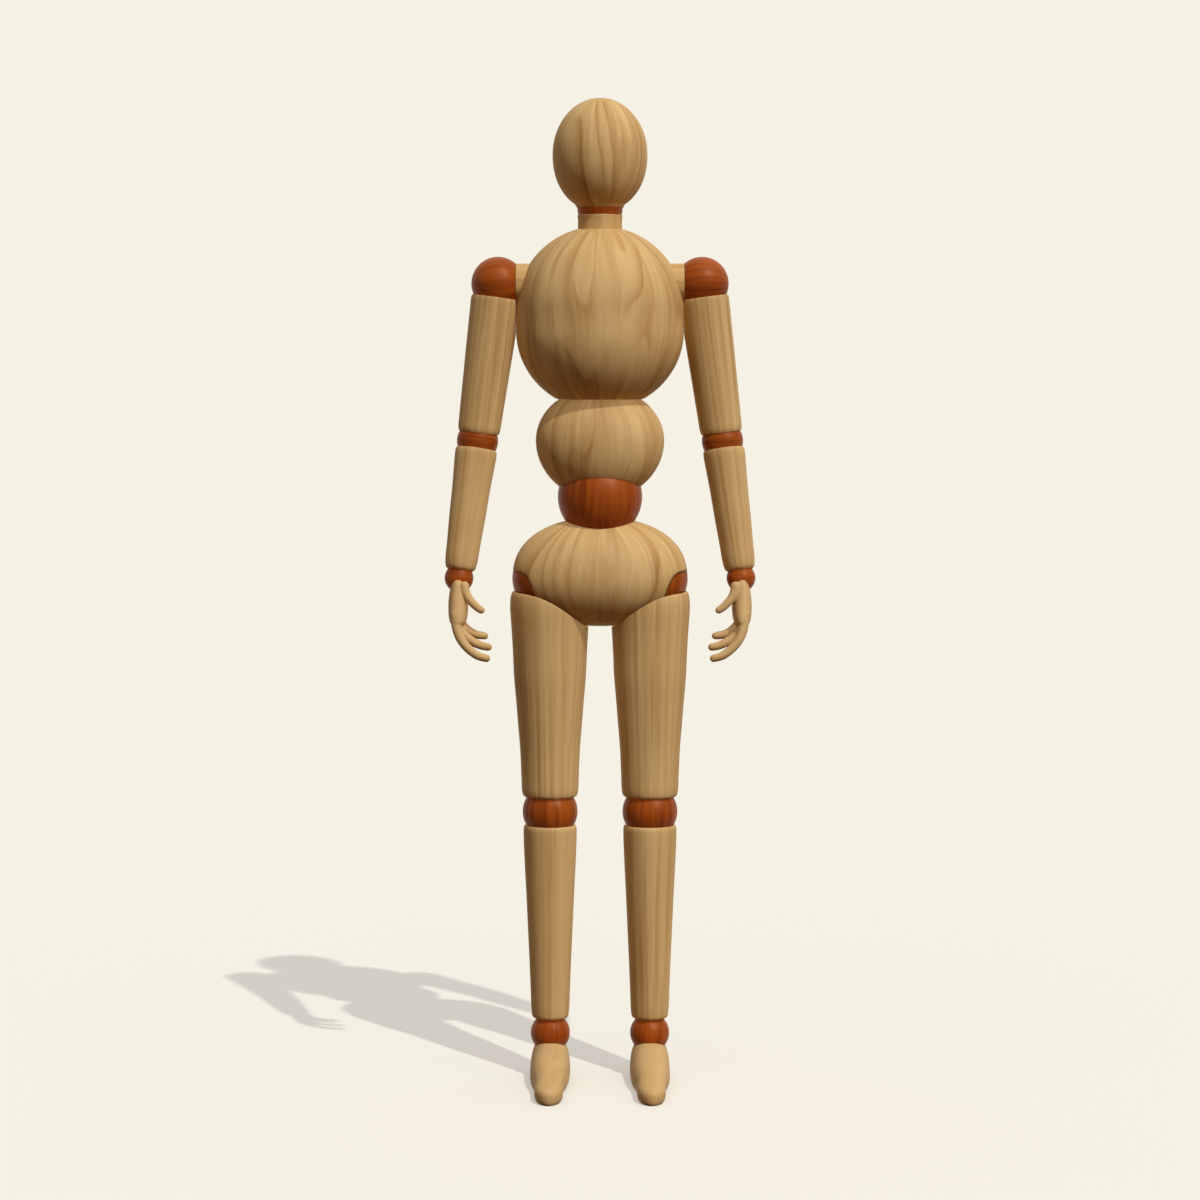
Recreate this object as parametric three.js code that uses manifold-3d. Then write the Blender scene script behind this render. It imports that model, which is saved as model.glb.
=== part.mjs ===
// Wooden artist mannequin standing on its feet, arms hanging.
// Millimetres, +Z up, the figure faces -Y. Left is the figure's own left, at +X.
import * as THREE from "three";
import { mergeVertices } from "three/addons/utils/BufferGeometryUtils.js";
import Module from "manifold-3d";

const wasm = await Module();
wasm.setup();

// Colours of the bare wood, the stained balls and the steel
const PALE_WOOD = { color: 0xc49a60, roughness: 0.55, metalness: 0 };
const STAINED_WOOD = { color: 0x8a3c1a, roughness: 0.42, metalness: 0 };
const STEEL = { color: 0x9a9a98, roughness: 0.35, metalness: 1 };

// Clearances, and the small bevel on sawn edges
const GAP = 0.3;
const SEAT = 0.3;
const EDGE = 0.4;

// Heights of the ball centres and how far each stands from the middle
const NECK_Z = 266.9;
const WAIST_Z = 179.2;
const KNEE_Z = 82.4;
const ANKLE_Z = 13.6;

// Arm lengths between ball centres, and how the arm hangs
const UPPER_ARM_LENGTH = 48.2;
const FOREARM_LENGTH = 42.3;
const ARM_TILT = THREE.MathUtils.degToRad(7.6);
const ELBOW_BEND = THREE.MathUtils.degToRad(6.9);

// Ball radii
const BALL = {
  neck: 6.9,
  waist: 12.9,
  shoulder: 8.15,
  elbow: 6.3,
  wrist: 4.3,
  hip: 11.4,
  knee: 8.45,
  ankle: 6.05,
};

// Segments round each ball
const ROUND = { neck: 16, waist: 22, shoulder: 16, elbow: 14, wrist: 10, hip: 18, knee: 16, ankle: 14 };

// Steel inside each ball: a stem on the turning axis with a cross pin, and a flat
// tongue on the pin that runs on into the next piece. The two smallest balls turn on
// a wooden spigot of their own and the tongue carries the pin.
// stem and pin are radii, reach and grip are lengths from the ball centre, swing is
// the free angle of the tongue in degrees
const STEELWORK = {
  neck: { stem: 1.2, reach: 11.2, pin: 1.0, grip: 5.0, thick: 1.2, wide: 2.0, tongue: 14, swing: [-17, 17] },
  waist: { stem: 1.8, reach: 20.4, pin: 1.5, grip: 10, thick: 1.8, wide: 2.8, tongue: 19.5, swing: [-27, 42] },
  shoulder: { stem: 1.2, reach: 15, pin: 1.0, grip: 6.2, thick: 1.2, wide: 2.2, tongue: 16.5, swing: [-4, 92] },
  elbow: { stem: 1.0, reach: 12.3, pin: 0.9, grip: 4.5, thick: 1.0, wide: 1.8, tongue: 13, swing: [-42, 8] },
  wrist: { stem: 1.1, reach: 9.3, pin: 0.7, grip: 2.9, thick: 0.9, wide: 1.3, tongue: 9, swing: [-62, 62] },
  hip: { stem: 1.6, reach: 15, pin: 1.4, grip: 8.5, thick: 1.6, wide: 2.6, tongue: 22, swing: [-4, 28] },
  knee: { stem: 1.2, reach: 16.5, pin: 1.0, grip: 6.3, thick: 1.2, wide: 2.2, tongue: 17, swing: [-4, 92] },
  ankle: { stem: 1.4, reach: 12, pin: 0.9, grip: 4.2, thick: 1.0, wide: 1.7, tongue: 11.3, swing: [-32, 40] },
};

// Outlines of the turned pieces as [radius, distance below the upper ball centre], or
// with a minus the distance above the lower one; the ends are the rims of the two cups
const UPPER_ARM_OUTLINE = [
  [7.5, 4.3], [7.6, 5.1], [7.55, 8.5], [7.4, 13.5], [7.25, 19.5], [7.0, 27],
  [6.75, -12.7], [6.55, -6.8], [6.4, -3.6], [6.1, -2.6],
];
const FOREARM_OUTLINE = [
  [6.15, 2.6], [6.35, 3.5], [6.15, 8.5], [5.8, 15], [5.5, 24],
  [5.15, -11.3], [4.9, -5.3], [4.5, -3.2], [3.95, -2.5],
];
const THIGH_OUTLINE = [
  [11.2, 4], [11.65, 4.5], [12.05, 6], [12.2, 9], [11.75, 16], [11.35, 23], [11.05, 30],
  [10.4, -34.2], [9.8, -26.7], [9.2, -19.2], [8.85, -11.2], [8.6, -6.2], [8.2, -5], [7.55, -4.6],
];
const SHIN_OUTLINE = [
  [7.8, 4.1], [8.1, 4.8], [8.16, 8], [7.9, 15], [7.4, 25], [6.95, 35],
  [6.45, -22.8], [6.05, -12.8], [5.8, -7], [5.45, -5.1], [4.6, -4.5],
];
const KNEE_BEVEL = THREE.MathUtils.degToRad(36);

// Head
const HEAD = { radius: 14.4, middle: 282.9, rise: 17.1, rimRadius: 7.6 };

// Neck: a short post let into the chest
const NECK = { rim: 264.7, rimRadius: 6.85, waist: 6.7, foot: 252.6 };

// Chest: two half ellipsoids and a short straight run between them
const CHEST = { radius: 25.55, depth: 0.86, upper: 235, lower: 231.6, rise: 26.4, bottom: 208.8 };
const BAR = { radius: 5.2, bore: 3.1, chamber: CHEST.radius - 9.75 };
// The shoulder ball's flat face stands against the end of the bar
const SHOULDER = { x: CHEST.radius + GAP + 5.15, z: 244, flat: CHEST.radius + GAP };
const SPRING = { radius: 2.3, wire: 0.45, turns: 6 };

// Abdomen
const ABDOMEN = { radius: 19.6, depth: 0.74, middle: 196.4, rise: 16.4, drop: 18.2 };
const PIVOT = { radius: 2, bottom: 201.6, top: 218 };

// Pelvis: an ellipsoid lying across, fuller than a true one
const PELVIS = { half: 26.3, z: 154.7, drop: 15.5, rise: 18.3, power: 2.2 };
// The hip balls show at its sides
const HIP = { x: PELVIS.half - BALL.hip + 1.5 * GAP, z: PELVIS.z - 0.4 };
const HIP_SWING = THREE.MathUtils.degToRad(50);
const HIP_WINDOW = { from: HIP.x - 3, front: 46, back: 42 };

// Foot sections as [y, half width, height], heel to toe cap, and the level of its widest line
const FOOT_SECTIONS = [
  [9.1, 3.6, 8.5], [8, 4.8, 10.6], [5, 5.6, 12.6], [0, 5.9, 14], [-6, 5.95, 12.6],
  [-12, 5.95, 10.4], [-16, 5.8, 9.3], [-20, 5.35, 8.3], [-24, 4.7, 7.4], [-28.5, 4.4, 6.5],
  [-33.5, 4.3, 5.7],
];
const FOOT_ENDS = { heel: 9.6, toe: -40.9, belly: 2.3, under: 3.6, power: 2.3, top: 10.4 };

// Palm sections as [z, half thickness, half width] below the wrist
const PALM_SECTIONS = [
  [-0.5, 1.5, 5.2], [-1.6, 2, 5.5], [-4, 2.5, 5.6], [-8, 2.85, 5.8],
  [-12, 2.75, 6.2], [-14, 2.2, 5.9], [-15.3, 1.3, 5.2],
];
const PALM_LEAN = 0.27;

// Fingers as paths of [out, z] with the y each starts from and its end radii
const FINGERS = [
  { y: -4.6, radii: [1.65, 1.15], path: [[0.7, -10.5], [0.3, -14.5], [-1, -18], [-3.4, -20.9], [-6.2, -22.9], [-8.7, -23.6]] },
  { y: -1.6, radii: [1.65, 1.15], path: [[0.7, -10.5], [0.1, -13.8], [-1.7, -16.8], [-4.4, -18.9], [-7.1, -20.1], [-9.1, -20.5]] },
  { y: 1.4, radii: [1.6, 1.1], path: [[0.7, -10.5], [0, -12.8], [-1.7, -15], [-3.9, -16.5], [-6, -17.2], [-7.9, -17.4]] },
  { y: 4.3, radii: [1.5, 1], path: [[0.6, -10], [-0.1, -12.6], [-1.7, -14.9], [-3.7, -16.4], [-5.5, -17.1], [-7.2, -17.3]] },
  { y: -3.9, radii: [1.35, 0.95], path: [[-1.5, -1.7], [-1.9, -3.6], [-2.9, -5.6], [-4.3, -7.3], [-5.9, -8.9], [-7.2, -9.9]] },
];

// Turns a closed geometry into a solid that can be cut, with its faces outward
function solid(geometry) {
  const bare = geometry.clone();
  bare.deleteAttribute("normal");
  bare.deleteAttribute("uv");
  const merged = mergeVertices(bare, 1e-4);
  const points = merged.attributes.position.array;
  const source = merged.index.array;
  const faces = [];
  let volume = 0;
  for (let i = 0; i < source.length; i += 3) {
    const [a, b, c] = [source[i], source[i + 1], source[i + 2]];
    if (a === b || b === c || c === a) continue;
    const [p, q, r] = [a, b, c].map((n) => new THREE.Vector3().fromArray(points, 3 * n));
    volume += p.dot(q.cross(r));
    faces.push([a, b, c]);
  }
  const turned = volume < 0 ? faces.map(([a, b, c]) => [a, c, b]) : faces;
  return new wasm.Manifold(
    new wasm.Mesh({
      numProp: 3,
      vertProperties: Float32Array.from(points),
      triVerts: Uint32Array.from(turned.flat()),
    }),
  );
}

function cutAway(body, ...tools) {
  return tools.reduce((left, tool) => left.subtract(tool), body);
}

function joined(first, ...others) {
  return others.reduce((sum, other) => sum.add(other), first);
}

// Drops the slivers a cut leaves loose
function mainBody(body) {
  const pieces = body.decompose();
  return pieces.reduce((best, piece) => (piece.volume() > best.volume() ? piece : best));
}

// Moves a solid by a three.js matrix
function moved(body, matrix) {
  return body.transform(Array.from(matrix.elements));
}

function shifted(body, x, y, z) {
  return moved(body, new THREE.Matrix4().makeTranslation(x, y, z));
}

// The mirror image across the middle of the figure
function mirrored(body) {
  return moved(body, new THREE.Matrix4().makeScale(-1, 1, 1));
}

// Revolves [radius, z] points about the z axis
function turned(points, around) {
  const outline = points.map(([r, z]) => new THREE.Vector2(r, z));
  return solid(new THREE.LatheGeometry(outline, around).rotateX(Math.PI / 2));
}

// Points of a circular arc on the z axis; angles in degrees from straight up
function arc(z, radius, from, to, steps) {
  const points = [];
  for (let i = 0; i <= steps; i++) {
    const angle = THREE.MathUtils.degToRad(from + ((to - from) * i) / steps);
    const r = Math.abs(angle % Math.PI) < 1e-9 ? 0 : radius * Math.sin(angle);
    points.push([r, z + radius * Math.cos(angle)]);
  }
  return points;
}

function sphere(radius, around) {
  return turned(arc(0, radius, 180, 0, Math.round(around / 2)), around);
}

function rod(radius, from, to, around = 12) {
  return turned([[0, from], [radius, from], [radius, to], [0, to]], around);
}

function block(x0, x1, y0, y1, z0, z1) {
  const box = new THREE.BoxGeometry(x1 - x0, y1 - y0, z1 - z0);
  return solid(box.translate((x0 + x1) / 2, (y0 + y1) / 2, (z0 + z1) / 2));
}

// Skins a row of rings that all have the same number of points, with a point at each end
function loft(start, rings, end) {
  const count = rings[0].length;
  const points = [start, ...rings.flat(), end];
  const last = points.length - 1;
  const faces = [];
  for (let k = 0; k < count; k++) {
    const next = (k + 1) % count;
    faces.push(0, 1 + k, 1 + next);
    for (let row = 0; row < rings.length - 1; row++) {
      const here = 1 + row * count;
      const there = here + count;
      faces.push(here + k, there + k, there + next, here + k, there + next, here + next);
    }
    const base = 1 + (rings.length - 1) * count;
    faces.push(last, base + next, base + k);
  }
  const geometry = new THREE.BufferGeometry().setFromPoints(points);
  geometry.setIndex(faces);
  return solid(geometry);
}

// Frame of a joint: across is the pin, toward is where the next piece hangs
function jointFrame(centre, across, toward) {
  const w = across.clone().normalize();
  const v = toward.clone().negate().normalize();
  const u = new THREE.Vector3().crossVectors(v, w);
  const frame = new THREE.Matrix4().makeBasis(u, v, w);
  return frame.setPosition(centre);
}

function extruded(shape, thickness, middle, steps = 6) {
  const options = { depth: thickness, bevelEnabled: false, curveSegments: steps };
  return solid(new THREE.ExtrudeGeometry(shape, options).translate(0, 0, middle - thickness / 2));
}

function sideways(steel) {
  return steel.stem + GAP + steel.thick / 2;
}

// Flat tongue hanging from the pin: a strip with a round eye, in the joint's own plane
function tongueShape(steel, grown, eye) {
  const half = steel.wide + grown;
  const end = steel.tongue + grown;
  const shape = new THREE.Shape();
  shape.absarc(0, 0, half, 0, Math.PI, false);
  shape.lineTo(-half, -end + 1);
  shape.lineTo(-half + 1, -end);
  shape.lineTo(half - 1, -end);
  shape.lineTo(half, -end + 1);
  shape.closePath();
  if (eye) {
    const hole = new THREE.Path();
    hole.absarc(0, 0, steel.pin + GAP, 0, 2 * Math.PI, true);
    shape.holes.push(hole);
  }
  return shape;
}

// Room the tongue sweeps inside the ball
function fanShape(steel, reach, rest) {
  const half = steel.wide + GAP;
  const [low, high] = steel.swing.map((a) => THREE.MathUtils.degToRad(a) + rest);
  const shape = new THREE.Shape();
  shape.absarc(0, 0, half, high, low + Math.PI, false);
  const side = [-half * Math.cos(low), -half * Math.sin(low)];
  shape.lineTo(side[0] + reach * Math.sin(low), side[1] - reach * Math.cos(low));
  const steps = Math.max(2, Math.round((high - low) / 0.35));
  for (let i = 1; i < steps; i++) {
    const angle = low + ((high - low) * i) / steps;
    shape.lineTo(1.15 * reach * Math.sin(angle), -1.15 * reach * Math.cos(angle));
  }
  const other = [half * Math.cos(high), half * Math.sin(high)];
  shape.lineTo(other[0] + reach * Math.sin(high), other[1] - reach * Math.cos(high));
  shape.closePath();
  return shape;
}

const ALONG = { up: new THREE.Matrix4().makeRotationX(-Math.PI / 2) };
ALONG.pin = new THREE.Matrix4();
ALONG.out = new THREE.Matrix4().makeRotationY(Math.PI / 2);
ALONG.in = new THREE.Matrix4().makeRotationY(-Math.PI / 2);

// All the solids of one ball joint, in the joint frame: u aside, v up, w along the pin
function ballJoint(kind, stemWay, rest, extra = []) {
  const steel = STEELWORK[kind];
  const radius = BALL[kind];
  const around = ROUND[kind];
  const lean = new THREE.Matrix4().makeRotationZ(rest);
  const ownPin = kind === "wrist" || kind === "ankle";
  const offset = ownPin ? 0 : sideways(steel);
  const way = ALONG[stemWay];
  const pin = rod(steel.pin, -steel.grip, steel.grip, 8);
  const pinRoom = rod(steel.pin + GAP, -steel.grip - GAP, steel.grip + GAP, 8);
  const fan = extruded(fanShape(steel, radius + 1, rest), steel.thick + 2 * GAP, offset);
  const strip = extruded(tongueShape(steel, 0, !ownPin), steel.thick, offset, 4);
  const pocket = extruded(tongueShape(steel, GAP, false), steel.thick + 2 * GAP, offset, 4);
  const body = moved(sphere(radius, around), new THREE.Matrix4().makeRotationX(-Math.PI / 2));
  const result = { pocket: moved(pocket, lean), offset };
  if (ownPin) {
    const spigot = moved(rod(steel.stem, radius - 1, steel.reach, 10), way);
    result.ball = joined(cutAway(body, pinRoom, fan, ...extra), spigot);
    result.tongue = joined(moved(strip, lean), pin);
  } else {
    const bore = moved(rod(steel.stem + GAP, 0, radius + 2, 10), way);
    result.ball = cutAway(body, pinRoom, bore, fan, ...extra);
    result.swivel = joined(pin, moved(rod(steel.stem, 0, steel.reach, 10), way));
    result.tongue = moved(strip, lean);
  }
  result.stemRoom = moved(rod(steel.stem + GAP, 0, steel.reach + SEAT, 10), way);
  return result;
}

// A turned limb with a cup at each end; below is the distance to the lower ball centre
function limb(outline, upper, lower, below, around) {
  const upperCup = BALL[upper] + GAP;
  const lowerCup = BALL[lower] + GAP;
  const side = outline.map(([r, z]) => [r, z < 0 ? below + z : z]);
  const first = side[0];
  const final = side[side.length - 1];
  const upperRim = THREE.MathUtils.radToDeg(Math.acos(first[1] / upperCup));
  const lowerRim = THREE.MathUtils.radToDeg(Math.acos((below - final[1]) / lowerCup));
  const points = [
    ...arc(0, upperCup, 180, 180 - upperRim, 3),
    ...side.map(([r, z]) => [r, -z]),
    ...arc(-below, lowerCup, lowerRim, 0, 3),
  ];
  return turned(points, around);
}

// The origin is on the floor under the middle of the whole figure
const figure = new THREE.Group();
figure.name = "wooden_mannequin";
const standing = new THREE.Group();
standing.name = "standing";
standing.position.y = -(FOOT_ENDS.toe + CHEST.radius * CHEST.depth) / 2;
figure.add(standing);

// Adds one named piece; frame is its own placement on the figure
function addPiece(name, body, finish, frame) {
  const cut = mainBody(body).getMesh();
  const geometry = new THREE.BufferGeometry();
  geometry.setAttribute("position", new THREE.BufferAttribute(cut.vertProperties.slice(), 3));
  geometry.setIndex(Array.from(cut.triVerts));
  const flat = geometry.toNonIndexed();
  flat.computeVertexNormals();
  const mesh = new THREE.Mesh(flat, new THREE.MeshStandardMaterial(finish));
  mesh.name = name;
  if (frame) {
    frame.decompose(mesh.position, mesh.quaternion, mesh.scale);
  }
  standing.add(mesh);
  return mesh;
}

function toPiece(tool, jointPlace, piecePlace) {
  return moved(tool, new THREE.Matrix4().copy(piecePlace).invert().multiply(jointPlace));
}

const X = new THREE.Vector3(1, 0, 0);
const Y = new THREE.Vector3(0, 1, 0);
const DOWN = new THREE.Vector3(0, 0, -1);
const UP = new THREE.Vector3(0, 0, 1);
const ORIGIN = new THREE.Matrix4();

function at(x, y, z) {
  return new THREE.Matrix4().makeTranslation(x, y, z);
}

// Head, neck ball and neck
const neckFrame = jointFrame(new THREE.Vector3(0, 0, NECK_Z), X, UP);
const neckJoint = ballJoint("neck", "up", 0);

function headSolid() {
  const rimAngle = 90;
  const cup = arc(NECK_Z, BALL.neck + GAP, 0, rimAngle, 5);
  const points = [...cup, [HEAD.rimRadius, NECK_Z]];
  const startRatio = HEAD.rimRadius / HEAD.radius;
  const startAngle = 180 - THREE.MathUtils.radToDeg(Math.asin(startRatio));
  const steps = 12;
  for (let i = 1; i <= steps; i++) {
    const angle = THREE.MathUtils.degToRad(startAngle * (1 - i / steps));
    const r = i === steps ? 0 : HEAD.radius * Math.sin(angle);
    points.push([r, HEAD.middle + HEAD.rise * Math.cos(angle)]);
  }
  return cutAway(turned(points, 26), moved(neckJoint.pocket, neckFrame));
}

function neckSolid() {
  const cupRadius = BALL.neck + GAP;
  const rimAngle = THREE.MathUtils.radToDeg(Math.acos((NECK_Z - NECK.rim) / cupRadius));
  const points = [
    ...arc(NECK_Z, cupRadius, 180, 180 - rimAngle, 4),
    [NECK.rimRadius, NECK.rim - 0.25],
    [NECK.waist, NECK.rim - 1.2],
    [NECK.waist, NECK.foot],
    [0, NECK.foot],
  ];
  return cutAway(turned(points, 20), moved(neckJoint.stemRoom, neckFrame));
}

addPiece("head", headSolid(), PALE_WOOD);
addPiece("neck_tongue", moved(neckJoint.tongue, neckFrame), STEEL);
addPiece("neck_ball", moved(neckJoint.ball, neckFrame), STAINED_WOOD);
addPiece("neck_swivel", moved(neckJoint.swivel, neckFrame), STEEL);
addPiece("neck", neckSolid(), PALE_WOOD);

// Chest with its neck socket, the hole for the shoulder bar and the pivot hole
const barHalf = SHOULDER.flat - SEAT;

function acrossRod(radius, half, around) {
  return moved(rod(radius, -half, half, around), new THREE.Matrix4().makeRotationY(Math.PI / 2));
}

function chestSolid() {
  const bottomAngle = Math.acos((CHEST.lower - CHEST.bottom) / CHEST.rise);
  const bottomRadius = CHEST.radius * Math.sin(bottomAngle);
  const points = [[0, CHEST.bottom], [bottomRadius - EDGE, CHEST.bottom]];
  const lowerSteps = 6;
  for (let i = 0; i <= lowerSteps; i++) {
    const angle = bottomAngle + ((Math.PI / 2 - bottomAngle) * i) / lowerSteps;
    points.push([
      CHEST.radius * Math.sin(angle),
      CHEST.lower - CHEST.rise * Math.cos(angle) + (i === 0 ? EDGE : 0),
    ]);
  }
  const upperSteps = 8;
  for (let i = 0; i <= upperSteps; i++) {
    const angle = ((Math.PI / 2) * i) / upperSteps;
    const r = i === upperSteps ? 0 : CHEST.radius * Math.cos(angle);
    points.push([r, CHEST.upper + CHEST.rise * Math.sin(angle)]);
  }
  const round = moved(turned(points, 30), new THREE.Matrix4().makeScale(1, CHEST.depth, 1));
  const neckRoom = rod(NECK.waist + GAP, NECK.foot - SEAT, NECK_Z, 20);
  const barRoom = shifted(acrossRod(BAR.radius + GAP, 1.2 * CHEST.radius, 16), 0, 0, SHOULDER.z);
  const pivotRoom = rod(PIVOT.radius + GAP, CHEST.bottom - GAP, PIVOT.top + SEAT, 12);
  return cutAway(round, neckRoom, barRoom, pivotRoom);
}

function barSolid() {
  const stemRoom = STEELWORK.shoulder.stem + GAP;
  const outline = [
    [stemRoom, -barHalf], [BAR.radius - EDGE, -barHalf], [BAR.radius, -barHalf + EDGE],
    [BAR.radius, barHalf - EDGE], [BAR.radius - EDGE, barHalf], [stemRoom, barHalf],
    [stemRoom, BAR.chamber], [BAR.bore, BAR.chamber], [BAR.bore, -BAR.chamber],
    [stemRoom, -BAR.chamber], [stemRoom, -barHalf],
  ];
  const tube = moved(turned(outline, 16), new THREE.Matrix4().makeRotationY(Math.PI / 2));
  return shifted(tube, 0, 0, SHOULDER.z);
}

class Coil extends THREE.Curve {
  getPoint(t, target = new THREE.Vector3()) {
    const angle = 2 * Math.PI * SPRING.turns * t;
    const half = BAR.chamber - GAP - SPRING.wire;
    return target.set(
      -half + 2 * half * t,
      SPRING.radius * Math.cos(angle),
      SPRING.radius * Math.sin(angle),
    );
  }
}

function springSolid() {
  const section = new THREE.Shape();
  section.moveTo(SPRING.wire, 0);
  for (const turn of [1, 2, 3, 4]) {
    const angle = (2 * Math.PI * turn) / 5;
    section.lineTo(SPRING.wire * Math.cos(angle), SPRING.wire * Math.sin(angle));
  }
  section.closePath();
  const options = { steps: SPRING.turns * 8, extrudePath: new Coil() };
  return shifted(solid(new THREE.ExtrudeGeometry(section, options)), 0, 0, SHOULDER.z);
}

addPiece("chest", chestSolid(), PALE_WOOD);
addPiece("shoulder_bar", barSolid(), PALE_WOOD);
addPiece("shoulder_spring", springSolid(), STEEL);

// Abdomen, its pivot into the chest, the waist ball and the pelvis
const waistFrame = jointFrame(new THREE.Vector3(0, 0, WAIST_Z), X, UP);
const waistJoint = ballJoint("waist", "up", 0);

function abdomenSolid() {
  const top = CHEST.bottom - GAP;
  const topAngle = Math.acos((top - ABDOMEN.middle) / ABDOMEN.rise);
  const points = [[0, top], [ABDOMEN.radius * Math.sin(topAngle) - EDGE, top]];
  const steps = 5;
  for (let i = 0; i <= steps; i++) {
    const angle = topAngle + ((Math.PI / 2 - topAngle) * i) / steps;
    const z = ABDOMEN.middle + ABDOMEN.rise * Math.cos(angle) - (i === 0 ? EDGE : 0);
    points.push([ABDOMEN.radius * Math.sin(angle), z]);
  }
  for (let i = 1; i <= steps + 1; i++) {
    const angle = ((Math.PI / 2) * i) / (steps + 1);
    const r = i === steps + 1 ? 0 : ABDOMEN.radius * Math.cos(angle);
    points.push([r, ABDOMEN.middle - ABDOMEN.drop * Math.sin(angle)]);
  }
  const round = moved(turned(points, 28), new THREE.Matrix4().makeScale(1, ABDOMEN.depth, 1));
  return cutAway(
    round,
    shifted(sphere(BALL.waist + GAP, 22), 0, 0, WAIST_Z),
    rod(PIVOT.radius + GAP, PIVOT.bottom - SEAT, top + GAP, 12),
    moved(waistJoint.pocket, waistFrame),
  );
}

function pelvisRadius(x) {
  const share = Math.min(1, Math.abs(x) / PELVIS.half);
  return (1 - share ** PELVIS.power) ** (1 / PELVIS.power);
}

function pelvisRound() {
  const rings = [];
  const along = 14;
  const around = 24;
  for (let i = 1; i < along; i++) {
    const angle = -Math.PI / 2 + (Math.PI * i) / along;
    const x = PELVIS.half * Math.sign(Math.sin(angle)) * Math.abs(Math.sin(angle)) ** (2 / PELVIS.power);
    const size = pelvisRadius(x);
    const ring = [];
    for (let k = 0; k < around; k++) {
      const turn = (2 * Math.PI * k) / around;
      const height = Math.sin(turn) > 0 ? PELVIS.rise : PELVIS.drop;
      ring.push(
        new THREE.Vector3(
          x,
          PELVIS.drop * size * Math.cos(turn),
          PELVIS.z + height * size * Math.sin(turn),
        ),
      );
    }
    rings.push(ring);
  }
  const start = new THREE.Vector3(-PELVIS.half, 0, PELVIS.z);
  const end = new THREE.Vector3(PELVIS.half, 0, PELVIS.z);
  return loft(start, rings, end);
}

const hips = [-1, 1].map((side) => {
  const frame = jointFrame(new THREE.Vector3(side * HIP.x, 0, HIP.z), Y, DOWN);
  return { side, frame };
});

addPiece("abdomen", abdomenSolid(), PALE_WOOD);
addPiece("abdomen_pivot", rod(PIVOT.radius, PIVOT.bottom, PIVOT.top, 12), STEEL);
addPiece("waist_tongue", moved(waistJoint.tongue, waistFrame), STEEL);
addPiece("waist_ball", moved(waistJoint.ball, waistFrame), STAINED_WOOD);
addPiece("waist_swivel", moved(waistJoint.swivel, waistFrame), STEEL);

// The joint frame's aside direction points to the figure's right with the pin to the back
const hipJoint = ballJoint("hip", "in", 0);
const hipSocket = sphere(BALL.hip + 1.4 * GAP, 18);

// Opening under each hip ball where the tongue passes into the thigh
function hipWindow() {
  const reach = 2 * PELVIS.drop;
  const shape = new THREE.Shape();
  shape.moveTo(0, 0);
  const steps = 4;
  for (let i = 0; i <= steps; i++) {
    const angle = THREE.MathUtils.degToRad(
      THREE.MathUtils.lerp(-HIP_WINDOW.front, HIP_WINDOW.back, i / steps),
    );
    shape.lineTo(reach * Math.sin(angle), -reach * Math.cos(angle));
  }
  shape.closePath();
  const length = PELVIS.half + 1 - HIP_WINDOW.from;
  const options = { depth: length, bevelEnabled: false };
  const wedge = solid(new THREE.ExtrudeGeometry(shape, options));
  const along = new THREE.Matrix4().makeBasis(Y, UP, X);
  return moved(wedge, along.setPosition(HIP_WINDOW.from, 0, HIP.z));
}

function pelvisSolid() {
  const socket = moved(hipSocket, new THREE.Matrix4().makeRotationX(-Math.PI / 2));
  const tools = [
    shifted(sphere(BALL.waist + GAP, 22), 0, 0, WAIST_Z),
    moved(waistJoint.stemRoom, waistFrame),
    shifted(acrossRod(STEELWORK.hip.stem + GAP, HIP.x, 12), 0, 0, HIP.z),
  ];
  for (const side of [-1, 1]) {
    tools.push(shifted(socket, side * HIP.x, 0, HIP.z));
    tools.push(side < 0 ? mirrored(hipWindow()) : hipWindow());
  }
  return cutAway(pelvisRound(), ...tools);
}

addPiece("pelvis", pelvisSolid(), PALE_WOOD);

// How far the pelvis reaches from the hip axis where the top edge of the thigh passes
// while the leg swings forward
function saddleRadius(x) {
  const across = THIGH_OUTLINE[3][0];
  const from = Math.abs(x) - HIP.x;
  const reach = Math.sqrt(Math.max(0, across * across - from * from));
  const size = PELVIS.drop * pelvisRadius(x);
  const edge = Math.asin(Math.min(1, reach / Math.max(size, 0.01)));
  const offset = PELVIS.z - HIP.z;
  const far = Math.min(Math.PI, edge + HIP_SWING);
  const rise = size * (PELVIS.rise / PELVIS.drop - 1) * Math.min(0, Math.cos(far)) ** 2;
  return size - offset * Math.cos(far) + rise + GAP;
}

function saddle(side) {
  const points = [[0, -2]];
  const steps = 9;
  for (let i = 0; i <= steps; i++) {
    const x = -2 + ((PELVIS.half + 2) * i) / steps;
    points.push([Math.max(0.5, saddleRadius(Math.max(x, 0))), x]);
  }
  points.push([0, PELVIS.half + 0.5]);
  const lathe = moved(turned(points, 28), new THREE.Matrix4().makeRotationY((side * Math.PI) / 2));
  return shifted(lathe, 0, 0, HIP.z);
}

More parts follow.
